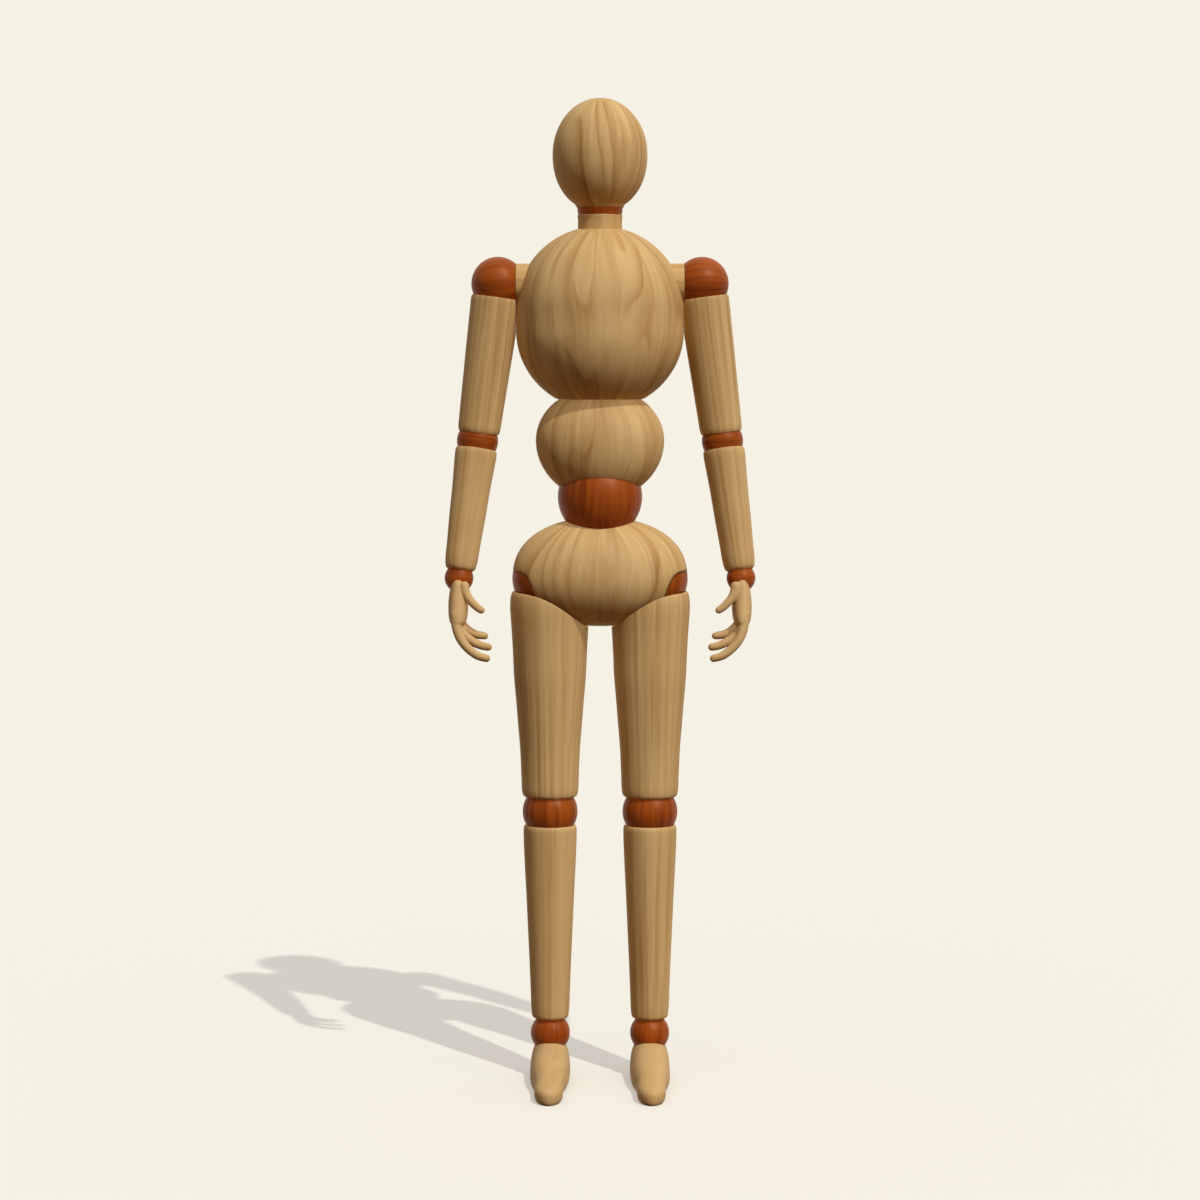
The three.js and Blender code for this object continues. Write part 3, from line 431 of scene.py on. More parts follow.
straightLook = dict(         # limbs and neck, cut along the grain
    figuredLook, sway=1.6, swaySize=(18.0, 60.0), rings=5.0, ringSize=(8.0, 420.0), ringDepth=0.5,
    streakSize=(1.4, 160.0), streakDepth=0.45, fleckSize=(0.9, 55.0), fibreDepth=0.2, patchDepth=0.12,
    relief=0.35,
)
carvedLook = dict(           # hands and feet, close-grained
    figuredLook, light=fromPaint(207, 171, 115), dark=fromPaint(182, 140, 83), sway=3.0, ringDepth=0.2,
    streakDepth=0.3, fibreDepth=0.2, fleckDepth=0.15, poreDepth=0.12, relief=0.2, wear=0.2,
)
stainLook = dict(            # the balls
    figuredLook, light=fromPaint(170, 83, 20), dark=fromPaint(108, 39, 4), warm=fromPaint(138, 55, 8),
    pore=fromPaint(58, 20, 5), rub=fromPaint(196, 112, 52), sheenTint=(1.0, 0.72, 0.45, 1.0), sway=4.0,
    ringSize=(9.0, 95.0), streakSize=(1.6, 50.0), patchDepth=0.3, fleckDepth=0.1, wear=0.35, relief=0.3,
    roughness=0.44, specular=0.22,
)
figuredWood = (wood("figured pale wood", figuredLook), "bare_wood")
straightWood = (wood("straight pale wood", straightLook), "bare_wood")
carvedWood = (wood("close-grained pale wood", carvedLook), "bare_wood")
stainedWood = (wood("red-brown stained wood", stainLook), "stained_wood")

wireLook = {                 # drawn steel, with fine scratches along it
    "light": fromPaint(196, 195, 190), "dark": fromPaint(128, 126, 122), "roughness": 0.26, "scratched": 0.25,
    "scratches": (900, 900, 90), "detail": 4.0, "rough": 0.6, "relief": 0.2, "depth": 0.02,
}


def wire(name, look):
    material, kit, surface = newMaterial(name)
    where = kit.add("ShaderNodeTexCoord").outputs["Object"]
    stretch = kit.add("ShaderNodeMapping", Scale=look["scratches"], Vector=where)
    scratch = kit.add("ShaderNodeTexNoise", Scale=1.0, Detail=look["detail"], Roughness=look["rough"],
                      Vector=stretch.outputs[0])
    lines = scratch.outputs["Fac"]
    kit.feed(surface["Base Color"], kit.blend(lines, look["light"], look["dark"]))
    kit.feed(surface["Roughness"], kit.calc("MULTIPLY_ADD", lines, look["scratched"], look["roughness"]))
    kit.feed(surface["Metallic"], 1.0)
    bump = kit.add("ShaderNodeBump", Strength=look["relief"], Distance=look["depth"] * mm, Height=lines)
    kit.feed(surface["Normal"], bump.outputs["Normal"])
    return material


drawnSteel = wire("drawn steel", wireLook)     # on all solids, though wood stands for most of them
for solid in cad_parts.values():
    solid.data.materials.clear()
    solid.data.materials.append(drawnSteel)
print("materials ready")


# balls, and the room for the steel inside them

joints = {                   # ball centres and radii
    "neck": {"z": 266.9, "radius": 6.9}, "waist": {"z": 179.2, "radius": 12.9},
    "shoulder": {"x": 31.0, "z": 244.0, "radius": 8.15, "flat": 25.65}, "elbow": {"radius": 6.3},
    "wrist": {"radius": 4.4}, "hip": {"x": 15.35, "z": 154.3, "radius": 11.5},
    "knee": {"z": 82.4, "radius": 8.45}, "ankle": {"z": 13.6, "radius": 6.05},
}
steelwork = {                # radii and lengths of stem and pin, the flat tongue, its free swing in degrees
    "neck": {"stem": 1.2, "reach": 11.2, "pin": 1.0, "grip": 5.0,
             "thick": 1.2, "wide": 2.0, "tongue": 14, "swing": (-17, 17)},
    "waist": {"stem": 1.8, "reach": 20.4, "pin": 1.5, "grip": 10,
              "thick": 1.8, "wide": 2.8, "tongue": 19.5, "swing": (-27, 42)},
    "shoulder": {"stem": 1.2, "reach": 15, "pin": 1.0, "grip": 6.2,
                 "thick": 1.2, "wide": 2.2, "tongue": 16.5, "swing": (-4, 92)},
    "elbow": {"stem": 1.0, "reach": 12.3, "pin": 0.9, "grip": 4.5,
              "thick": 1.0, "wide": 1.8, "tongue": 13, "swing": (-42, 8)},
    "wrist": {"stem": 1.1, "reach": 9.3, "pin": 0.7, "grip": 2.9,
              "thick": 0.9, "wide": 1.3, "tongue": 9, "swing": (-62, 62)},
    "hip": {"stem": 1.6, "reach": 15, "pin": 1.4, "grip": 8.5,
            "thick": 1.6, "wide": 2.6, "tongue": 22, "swing": (-4, 28)},
    "knee": {"stem": 1.2, "reach": 16.5, "pin": 1.0, "grip": 6.3,
             "thick": 1.2, "wide": 2.2, "tongue": 17, "swing": (-4, 92)},
    "ankle": {"stem": 1.4, "reach": 12, "pin": 0.9, "grip": 4.2,
              "thick": 1.0, "wide": 1.7, "tongue": 11.3, "swing": (-32, 40)},
}
ownSpigot = ("wrist", "ankle")    # the two smallest balls turn on a spigot of their own wood
slotShape = {                # steps of the arcs, bow of a slot's outer end, corner cut off a pocket
    "arc": 12, "step": 0.2, "bow": 1.15, "pocketArc": 10, "corner": 1,
}


def aside(kind):
    # how far along the pin the tongue lies, beside a stem of steel
    steel = steelwork[kind]
    return 0.0 if kind in ownSpigot else steel["stem"] + freeFit + steel["thick"] / 2


def alongStem(kind):
    # lays a rod along the stem, which runs sideways in shoulders and hips
    if kind in ("shoulder", "hip"):
        return Matrix.Rotation(-quarter, 4, "Y")
    return Matrix.Rotation(-quarter, 4, "X")


def fanSlot(kind, rest):
    # room the tongue sweeps inside its ball
    steel, shape = steelwork[kind], slotShape
    half, reach = steel["wide"] + freeFit, joints[kind]["radius"] + past
    low, high = [math.radians(a) + rest for a in steel["swing"]]
    corners = [(half * math.cos(a), half * math.sin(a)) for a in evenly(high, low + math.pi, shape["arc"])]
    corners.append((reach * math.sin(low) - half * math.cos(low),
                    -half * math.sin(low) - reach * math.cos(low)))
    steps, bowed = max(2, round((high - low) / shape["step"])), shape["bow"] * reach
    corners += [(bowed * math.sin(a), -bowed * math.cos(a)) for a in evenly(low, high, steps)[1:-1]]
    corners.append((reach * math.sin(high) + half * math.cos(high),
                    half * math.sin(high) - reach * math.cos(high)))
    return slabMesh("slot", corners, steel["thick"] + 2 * freeFit, aside(kind))


def tonguePocket(kind, rest, mirrored=False):
    # room for the tongue in the piece that it carries
    steel, arc, cut = steelwork[kind], slotShape["pocketArc"], slotShape["corner"]
    half, end = steel["wide"] + freeFit, steel["tongue"] + freeFit
    corners = [(half * math.cos(a), half * math.sin(a)) for a in evenly(0, math.pi, arc)]
    corners += [(-half, cut - end), (cut - half, -end), (half - cut, -end), (half, cut - end)]
    pocket = slabMesh("pocket", corners, steel["thick"] + 2 * freeFit, aside(kind))
    pocket.transform(Matrix.Rotation(rest, 4, "Z"))
    return mirroredMesh(pocket) if mirrored else pocket


def stemHole(kind):
    # room for the stem in the piece that carries the ball
    steel = steelwork[kind]
    hole = rodMesh("stemHole", steel["stem"] + freeFit, 0, steel["reach"] + freeFit)
    hole.transform(alongStem(kind))
    return hole


def jointBall(kind, name, place, rest=0.0, mirrored=False, turn=upright, extra=()):
    # stained ball drilled for its pin and stem, with the slot for the tongue
    radius, steel = joints[kind]["radius"], steelwork[kind]
    mesh = ballMesh(name + "_turned", radius)
    mesh.transform(Matrix.Rotation(-quarter, 4, "X"))
    ball = putDown(mesh, place)
    pinHole = rodMesh("pinHole", steel["pin"] + freeFit, -steel["grip"] - freeFit, steel["grip"] + freeFit)
    cutters = [fanSlot(kind, rest), pinHole]
    if kind not in ownSpigot:
        bore = rodMesh("bore", steel["stem"] + freeFit, 0, radius + 2 * past)
        bore.transform(alongStem(kind))
        cutters.append(bore)
    if mirrored:
        cutters = [mirroredMesh(cutter) for cutter in cutters]
    carve(ball, [(cutter, place) for cutter in cutters] + list(extra))
    if kind in ownSpigot:
        spigot = rodMesh("spigot", steel["stem"], radius - past, steel["reach"])
        spigot.transform(alongStem(kind))
        carve(ball, [(spigot, place)], "UNION")
    finish(ball, name, stainedWood, radius, turn=turn)


grainUp = Matrix.Rotation(quarter, 3, "X")       # grain up the joint, and along a foot
grainAcross = Matrix.Rotation(quarter, 3, "Y")   # grain from side to side
grainAlongPin = upright


# head, neck and trunk

headShape = {                # a jaw above 2 is fuller below
    "radius": 14.4, "middle": 282.9, "rise": 17.1, "rim": 7.6, "jaw": 2.15, "cupSteps": 16, "steps": 60,
}


def makeHead():
    head, neck = headShape, joints["neck"]
    start = math.pi - math.asin((head["rim"] / head["radius"]) ** (head["jaw"] / 2))
    outline = arcPoints(neck["z"], neck["radius"] + snug, 0, 90, head["cupSteps"])
    for i in range(head["steps"] + 1):
        angle = start * (1 - i / head["steps"])
        full = 2 / head["jaw"] if angle > quarter else 1
        lift = head["rise"] * swell(math.cos(angle), full)
        outline.append((head["radius"] * math.sin(angle) ** full, head["middle"] + lift))
    outline[-1] = (0, outline[-1][1])
    egg = putDown(turnedMesh("head_egg", outline, roundness["trunk"]), centred)
    neckFrame = jointFrame((0, 0, neck["z"]), xAxis, zAxis)
    carve(egg, [(tonguePocket("neck", 0), neckFrame)])
    finish(egg, "head", figuredWood, head["radius"])


neckShape = {                # the edge is given as (out from the post, down from the rim)
    "rim": 264.7, "radius": 6.7, "foot": 252.6, "seat": 0.2, "through": 270, "cupSteps": 12,
    "edge": [(0.16, 0.1), (0.18, 0.3), (0.06, 0.9), (0, 1.6)],
}


def makeNeck():
    shape, neck = neckShape, joints["neck"]
    cup, rim, slim = neck["radius"] + snug, shape["rim"], shape["radius"]
    angle = math.degrees(math.acos((neck["z"] - rim) / cup))
    outline = arcPoints(neck["z"], cup, 180, 180 - angle, shape["cupSteps"])
    outline += [(slim + out, rim - down) for out, down in shape["edge"]]
    outline += [(slim, shape["foot"]), (0, shape["foot"])]
    post = putDown(turnedMesh("neck_post", outline), centred)
    neckFrame = jointFrame((0, 0, neck["z"]), xAxis, zAxis)
    carve(post, [(stemHole("neck"), neckFrame)])
    finish(post, "neck", straightWood, slim, body="chest")
    jointBall("neck", "neck_ball", neckFrame, turn=grainUp)


registerShape = {"radius": 9.0, "rise": 0.35}      # low round boss of the abdomen, in a recess of the chest
chestShape = {
    "radius": 25.55, "depth": 0.86, "upper": 236.4, "rise": 25.0, "lower": 229.6, "drop": 24.1,
    "bottom": 208.8, "stepsUp": 40, "stepsDown": 28,
}
trunkEdge = {"flat": 0.3, "round": 0.1, "sink": 0.05, "ease": 0.18}    # where belly and chest meet
barShape = {"radius": 6.1, "half": 25.57, "bore": 3.1, "chamber": 15.8, "bevel": 0.12, "through": 32}
pivotShape = {"radius": 2.0, "low": 201.6, "high": 218.0}


def makeChest():
    c, edge = chestShape, trunkEdge
    low = math.acos((c["lower"] - c["bottom"]) / c["drop"])
    foot = c["radius"] * math.sin(low)
    outline = [(0, c["bottom"]), (foot - edge["flat"], c["bottom"]),
               (foot - edge["round"], c["bottom"] + edge["sink"])]
    for angle in evenly(low, quarter, c["stepsDown"]):
        lift = edge["ease"] if angle == low else 0
        outline.append((c["radius"] * math.sin(angle), c["lower"] - c["drop"] * math.cos(angle) + lift))
    for angle in evenly(0, quarter, c["stepsUp"]):
        outline.append((c["radius"] * math.cos(angle), c["upper"] + c["rise"] * math.sin(angle)))
    outline[-1] = (0, outline[-1][1])
    mesh = turnedMesh("chest_barrel", outline, roundness["chest"])
    mesh.transform(Matrix.Diagonal((1, c["depth"], 1, 1)))
    chest = putDown(mesh, centred)
    along = spot(0, 0, joints["shoulder"]["z"]) @ Matrix.Rotation(quarter, 4, "Y")
    neck, pivot, bar, register = neckShape, pivotShape, barShape, registerShape
    under, fine = c["bottom"] - past, roundness["limb"]
    recessTop = c["bottom"] + register["rise"] + snug
    carve(chest, [
        (rodMesh("hole", neck["radius"] + snug, neck["foot"] - neck["seat"], neck["through"], fine), centred),
        (rodMesh("hole", bar["radius"] + snug, -bar["through"], bar["through"], fine), along),
        (rodMesh("hole", pivot["radius"] + freeFit, under, pivot["high"] + freeFit), centred),
        (rodMesh("recess", register["radius"] + snug, under, recessTop, roundness["boss"]), centred),
    ])
    finish(chest, "chest", figuredWood, c["radius"], flatten=c["depth"])

    hollow = steelwork["shoulder"]["stem"] + freeFit
    end = [(hollow, 0), (bar["radius"] - bar["bevel"], 0), (bar["radius"], bar["bevel"])]
    outline = [(r, z - bar["half"]) for r, z in end] + [(r, bar["half"] - z) for r, z in reversed(end)]
    bore, chamber = bar["bore"], bar["chamber"]
    outline += [(hollow, chamber), (bore, chamber), (bore, -chamber), (hollow, -chamber)]
    dowel = putDown(turnedMesh("shoulder_bar_dowel", outline, roundness["small"]), along)
    finish(dowel, "shoulder_bar", straightWood, bar["radius"], body="chest")


bellyShape = {
    "radius": 19.6, "depth": 0.74, "middle": 196.4, "rise": 16.4, "drop": 18.2, "top": 208.76,
    "stepsUp": 24, "stepsDown": 32,
}


def makeBelly():
    a, edge, waist, pivot = bellyShape, trunkEdge, joints["waist"], pivotShape
    high = math.acos((a["top"] - a["middle"]) / a["rise"])
    rim = a["radius"] * math.sin(high)
    outline = [(0, a["top"]), (rim - edge["flat"], a["top"]), (rim - edge["round"], a["top"] - edge["sink"])]
    for angle in evenly(high, quarter, a["stepsUp"]):
        fall = edge["ease"] if angle == high else 0
        outline.append((a["radius"] * math.sin(angle), a["middle"] + a["rise"] * math.cos(angle) - fall))
    for angle in evenly(0, quarter, a["stepsDown"])[1:]:
        outline.append((a["radius"] * math.cos(angle), a["middle"] - a["drop"] * math.sin(angle)))
    outline[-1] = (0, outline[-1][1])
    mesh = turnedMesh("abdomen_barrel", outline, roundness["trunk"])
    mesh.transform(Matrix.Diagonal((1, a["depth"], 1, 1)))
    belly = putDown(mesh, centred)
    waistFrame = jointFrame((0, 0, waist["z"]), xAxis, zAxis)
    low, high = a["top"] - past, a["top"] + registerShape["rise"]
    boss = rodMesh("boss", registerShape["radius"], low, high, roundness["boss"])
    carve(belly, [(boss, centred)], "UNION")
    carve(belly, [
        (ballMesh("hole", waist["radius"] + snug, roundness["trunk"]), spot(0, 0, waist["z"])),
        (rodMesh("hole", pivot["radius"] + freeFit, pivot["low"] - freeFit, a["top"] + past), centred),
        (tonguePocket("waist", 0), waistFrame),
    ])
    finish(belly, "abdomen", figuredWood, a["radius"], flatten=a["depth"])
    jointBall("waist", "waist_ball", waistFrame, turn=grainUp)


pelvisShape = {              # the window is (start beside the middle, degrees to the front, to the back)
    "half": 26.7, "z": 155.05, "drop": 15.45, "rise": 17.95, "power": 2.18, "window": (12.55, 46, 42),
    "windowSteps": 12, "steps": 80,
}


def pelvisShare(x):
    p = pelvisShape
    return max(0.0, 1 - min(1.0, abs(x) / p["half"]) ** p["power"]) ** (1 / p["power"])


def hipWindow(side):
    # opening under the hip ball where the tongue passes into the thigh
    start, front, back = pelvisShape["window"]
    reach, corners = 2 * pelvisShape["drop"], [(0, 0)]
    for degrees in evenly(-front, back, pelvisShape["windowSteps"]):
        angle = math.radians(degrees)
        corners.append((reach * math.sin(angle), -reach * math.cos(angle)))
    length = pelvisShape["half"] + past - start
    window = slabMesh("window", corners, length, start + length / 2)
    window.transform(Matrix(((0, 0, 1), (1, 0, 0), (0, 1, 0))).to_4x4())
    return (mirroredMesh(window) if side < 0 else window), spot(0, 0, joints["hip"]["z"])


def makePelvis():
    p, rings, around = pelvisShape, [], roundness["trunk"]
    for angle in evenly(-quarter, quarter, p["steps"])[1:-1]:
        x = p["half"] * swell(math.sin(angle), 2 / p["power"])
        share = pelvisShare(x)
        rings.append([(x, p["drop"] * share * c, p["z"] + p["rise" if s > 0 else "drop"] * share * s)
                      for c, s in roundTurn(around)])
    mesh = loftedMesh("pelvis_block", (-p["half"], 0, p["z"]), rings, (p["half"], 0, p["z"]))
    pelvis = putDown(mesh, centred)
    waist, hip = joints["waist"], joints["hip"]
    across = spot(0, 0, hip["z"]) @ Matrix.Rotation(quarter, 4, "Y")
    cutters = [
        (ballMesh("hole", waist["radius"] + snug, around), spot(0, 0, waist["z"])),
        (stemHole("waist"), jointFrame((0, 0, waist["z"]), xAxis, -zAxis) @ Matrix.Rotation(math.pi, 4, "Z")),
        (rodMesh("hole", steelwork["hip"]["stem"] + freeFit, -hip["x"], hip["x"]), across),
    ]
    for side in (-1, 1):
        cutters.append((ballMesh("hole", hip["radius"] + snug), spot(side * hip["x"], 0, hip["z"])))
        cutters.append(hipWindow(side))
    carve(pelvis, cutters)
    finish(pelvis, "pelvis", figuredWood, p["half"], flatten=p["drop"] / p["half"])


makeHead()
makeNeck()
makeChest()
makeBelly()
makePelvis()
print("trunk made")


# legs

limbShapes = {               # (radius, distance below the upper ball); the ends are the rims of the cups
    "upperArm": [(7.5, 4.3), (7.6, 5.1), (7.55, 8.5), (7.4, 13.5), (7.25, 19.5), (7.0, 27),
                 (6.75, 35.5), (6.55, 41.4), (6.4, 44.6), (6.1, 45.6)],
    "forearm": [(6.15, 2.6), (6.35, 3.5), (6.15, 8.5), (5.8, 15), (5.5, 24),
                (5.15, 31), (4.9, 37), (4.5, 39.1), (3.95, 39.8)],
    "thigh": [(11.2, 4), (11.65, 4.5), (12.05, 6), (12.2, 9), (11.75, 16), (11.35, 23), (11.05, 30),
              (10.4, 37.7), (9.8, 45.2), (9.2, 52.7), (8.85, 60.7), (8.6, 65.7), (8.2, 66.9), (7.55, 67.3)],
    "shin": [(7.8, 4.1), (8.1, 4.8), (8.16, 8), (7.9, 15), (7.4, 25), (6.95, 35),
             (6.45, 46), (6.05, 56), (5.8, 61.8), (5.45, 63.7), (4.6, 64.3)],
}
limbEnds = {                 # the balls above and below
    "upperArm": ("shoulder", "elbow"), "forearm": ("elbow", "wrist"), "thigh": ("hip", "knee"),
    "shin": ("knee", "ankle"),
}
limbSteps = {"cup": 14, "between": 6}
boardRadius = {              # radius at which the grain has its true size
    "thigh": 11.0, "shin": 7.5, "foot": 6.0, "upperArm": 7.2, "forearm": 5.7, "hand": 4.0,
}
kneeBevel = math.radians(36)    # slope of the backs of thigh and shin, which meet when the knee folds
hipSwing = math.radians(50)     # forward swing that the saddle leaves room for
saddleShape = {              # starts a little past the middle; its reach settles in a few tries
    "steps": 56, "inside": -2, "clear": 0.12, "least": 0.5, "tries": 12, "nothing": 0.01,
}


def makeLimb(name, kind, below, place, cutters):
    # turned between two cups, the lower one this far below the upper
    upperCup, lowerCup = [joints[end]["radius"] + snug for end in limbEnds[kind]]
    points = limbShapes[kind]
    upperRim = math.degrees(math.acos(points[0][1] / upperCup))
    lowerRim = math.degrees(math.acos((below - points[-1][1]) / lowerCup))
    outline = arcPoints(0, upperCup, 180, 180 - upperRim, limbSteps["cup"])
    outline += [(r, -z) for r, z in throughPoints(points, limbSteps["between"])]
    outline += arcPoints(-below, lowerCup, lowerRim, 0, limbSteps["cup"])
    limb = putDown(turnedMesh(name + "_turned", outline), place)
    carve(limb, cutters)
    finish(limb, name, straightWood, boardRadius[kind])


def saddleReach(x):
    # clear distance from the hip line where the thigh's top edge passes the pelvis
    p, hip = pelvisShape, joints["hip"]
    across = max(radius for radius, below in limbShapes["thigh"])
    reach = math.sqrt(max(0.0, across * across - (abs(x) - hip["x"]) ** 2))
    size = p["drop"] * pelvisShare(x)
    clear = size
    for _ in range(saddleShape["tries"]):
        slant = min(1, reach / max(clear, saddleShape["nothing"]))
        far = min(math.pi, math.asin(slant) + hipSwing)
        rise = size * (p["rise"] / p["drop"] - 1) * min(0, math.cos(far)) ** 2
        clear = (clear + size - (p["z"] - hip["z"]) * math.cos(far) + rise) / 2
    return clear + saddleShape["clear"]


def saddle(side):
    # the pelvis with room round it, to take out of the top of a thigh
    shape, half = saddleShape, pelvisShape["half"]
    outline = [(0, shape["inside"])]
    for x in evenly(shape["inside"], half, shape["steps"]):
        outline.append((max(shape["least"], saddleReach(max(x, 0))), x))
    outline.append((0, half + shape["least"]))
    turn = Matrix.Rotation(side * quarter, 4, "Y")
    return turnedMesh("saddle", outline, roundness["chest"]), spot(0, 0, joints["hip"]["z"]) @ turn


def bevelWedge(place, level, upward):
    # what goes at the back of the knee so that it folds
    half, long = flatBlock["half"], flatBlock["long"]
    low, high = ((-half, 0, -long), (half, long, 0)) if upward > 0 else ((-half, 0, 0), (half, long, long))
    slope = Matrix.Translation(Vector((0, 0, level)) * mm) @ Matrix.Rotation(upward * kneeBevel, 4, "X")
    return blockMesh("wedge", low, high), place @ slope


footShape = {                # sections are (y, half width, height), heel to toe cap
    "sections": [(9.1, 3.6, 8.5), (8, 4.9, 10.4), (5, 5.8, 12.2), (0, 6.1, 12.9), (-6, 6.1, 11.35),
                 (-12, 6.0, 10.1), (-16, 5.8, 9.3), (-20, 5.35, 8.3), (-24, 4.7, 7.4), (-28.5, 4.4, 6.5),
                 (-33.5, 4.3, 5.7)],
    "heel": 9.6, "toe": -40.9, "belly": 2.3, "under": 3.6, "power": 2.3, "top": 10.2, "topSlope": 0.2,
    "heelRise": 1, "heelEase": 1.8, "between": 5, "toeSteps": 16, "toeTop": 0.7, "toeSole": 0.5,
}


def footRing(y, half, tall, under):
    f, ring = footShape, []
    for c, s in roundTurn(roundness["small"], 2 / f["power"]):
        height = tall - f["belly"] if s > 0 else under
        ring.append((half * c, y, f["belly"] + height * s))
    return ring


def footMesh(name):
    f = footShape
    rings = []
    for y, half, tall in throughPoints(f["sections"], f["between"]):
        # the sole curves up at the heel
        under = f["under"] * min(1, (f["heel"] - y) / f["heelEase"]) ** 0.5
        rings.append(footRing(y, half, tall, under))
    capY, capHalf, capHeight = f["sections"][-1]
    for angle in evenly(0, quarter, f["toeSteps"])[1:-1]:
        share = math.cos(angle)
        y = capY + (f["toe"] - capY) * math.sin(angle)
        tall = f["belly"] + (capHeight - f["belly"]) * share ** f["toeTop"]
        rings.append(footRing(y, capHalf * share, tall, f["under"] * share ** f["toeSole"]))
    return loftedMesh(name, (0, f["heel"], f["belly"] + f["heelRise"]), rings, (0, f["toe"], f["belly"]))


def makeLeg(side, label):
    hip, knee, ankle = joints["hip"], joints["knee"], joints["ankle"]
    x, mirrored = side * hip["x"], side > 0
    hipFrame = jointFrame((x, 0, hip["z"]), yAxis, -zAxis)
    kneeFrame = jointFrame((x, 0, knee["z"]), xAxis, -zAxis)
    ankleFrame = jointFrame((x, 0, ankle["z"]), xAxis, -zAxis)
    thighPlace, kneePlace, footPlace = spot(x, 0, hip["z"]), spot(x, 0, knee["z"]), spot(x, 0, 0)
    jointBall("hip", label + "_hip_ball", hipFrame, mirrored=mirrored, turn=grainUp)
    makeLimb(label + "_thigh", "thigh", hip["z"] - knee["z"], thighPlace, [
        saddle(side), bevelWedge(thighPlace, -limbShapes["thigh"][-1][1], 1),
        (tonguePocket("hip", 0, mirrored), hipFrame), (stemHole("knee"), kneeFrame),
    ])
    jointBall("knee", label + "_knee_ball", kneeFrame, turn=grainUp)
    makeLimb(label + "_shin", "shin", knee["z"] - ankle["z"], kneePlace, [
        bevelWedge(kneePlace, -limbShapes["shin"][0][1], -1),
        (tonguePocket("knee", 0), kneeFrame), (stemHole("ankle"), ankleFrame),
    ])
    jointBall("ankle", label + "_ankle_ball", ankleFrame, turn=grainUp)
    foot = putDown(footMesh(label + "_foot_carved"), footPlace)
    topPlace = spot(x, 0, footShape["top"]) @ Matrix.Rotation(-math.atan(footShape["topSlope"]), 4, "X")
    half, front, back = flatBlock["half"], flatBlock["front"], flatBlock["back"]
    carve(foot, [
        (blockMesh("sole", (-half, -front, -half), (half, back, 0)), footPlace),
        (blockMesh("top", (-half, -front, 0), (half, back, back)), topPlace),
        (ballMesh("hole", ankle["radius"] + snug), spot(x, 0, ankle["z"])),
        (tonguePocket("ankle", 0), ankleFrame),
    ])
    finish(foot, label + "_foot", carvedWood, boardRadius["foot"], turn=grainUp)


# arms

handShape = {
    # palm as (level below the wrist, half thickness, half width)
    "palm": [(-0.4, 1.2, 5.0), (-1.2, 1.9, 5.5), (-4, 2.65, 5.8), (-8, 3.0, 6.1),
             (-11.5, 2.8, 6.5), (-13.2, 2.35, 6.3), (-14, 1.5, 5.6)],
    "lean": 0.27,            # forward, for each step down the hand
    # fingers as (start across the palm, radii, path of (out, level))
    "fingers": [
        (-4.6, (1.65, 1.15),
         [(0.7, -10.5), (0.3, -14.5), (-1, -18), (-3.4, -20.9), (-6.2, -22.9), (-8.7, -23.6)]),
        (-1.6, (1.65, 1.15),
         [(0.7, -10.5), (0.1, -13.8), (-1.7, -16.8), (-4.4, -18.9), (-7.1, -20.1), (-9.1, -20.5)]),
        (1.4, (1.6, 1.1),
         [(0.7, -10.5), (0, -12.8), (-1.7, -15), (-3.9, -16.5), (-6, -17.2), (-7.9, -17.4)]),
        (4.3, (1.5, 1.0),
         [(0.6, -10), (-0.1, -12.6), (-1.7, -14.9), (-3.7, -16.4), (-5.5, -17.1), (-7.2, -17.3)]),
        (-4.6, (1.5, 1.1),
         [(-1.9, -2.2), (-2.2, -3.9), (-3.1, -5.7), (-4.4, -7.2), (-5.8, -8.5), (-7.0, -9.3)]),
    ],
    "tip": (20, 40, 58, 74),    # degrees at which a finger's round ends have a ring
    # palm: its rounding, where 1 is an ellipse, its shift outward, and how far its ends dome
    "boxy": 0.85, "shift": 0.15, "top": 0.3, "bottom": 0.4,
    "palmBetween": 4, "fingerBetween": 5, "voxel": 0.2, "soften": 0.5, "softenings": 3, "sharp": 50,
}


def fingerMesh(start, radii, path, side):
    h, circle = handShape, roundTurn(roundness["finger"])
    run = throughPoints(path, h["fingerBetween"])
    points = [Vector((out * side, start + h["lean"] * z, z)) for out, z in run]
    count, rings = len(points), []

    def addRing(centre, way, radius):
        u = way.cross(yAxis).normalized()
        v = way.cross(u)
        rings.append([tuple(centre + (u * c + v * s) * radius) for c, s in circle])

    first = (points[1] - points[0]).normalized()
    for angle in reversed(h["tip"]):
        turn = math.radians(angle)
        addRing(points[0] - first * radii[0] * math.sin(turn), first, radii[0] * math.cos(turn))
    for i, point in enumerate(points):
        way = (points[min(count - 1, i + 1)] - points[max(0, i - 1)]).normalized()
        addRing(point, way, radii[0] + (radii[1] - radii[0]) * i / (count - 1))
    way = (points[-1] - points[-2]).normalized()
    for angle in h["tip"]:
        turn = math.radians(angle)
        addRing(points[-1] + way * radii[1] * math.sin(turn), way, radii[1] * math.cos(turn))
    root, tip = points[0] - first * radii[0], points[-1] + way * radii[1]
    return loftedMesh("finger", tuple(root), rings, tuple(tip))


def palmMesh(side):
    h, rings = handShape, []
    circle = roundTurn(roundness["palm"], h["boxy"])
    for z, thick, wide in throughPoints(h["palm"], h["palmBetween"]):
        rings.append([(side * (h["shift"] + thick * c), h["lean"] * z + wide * s, z) for c, s in circle])
    low = h["palm"][-1][0] - h["bottom"]
    top = (side * h["shift"], 0, h["palm"][0][0] + h["top"])
    return loftedMesh("palm", top, rings, (side * h["shift"], h["lean"] * low, low))


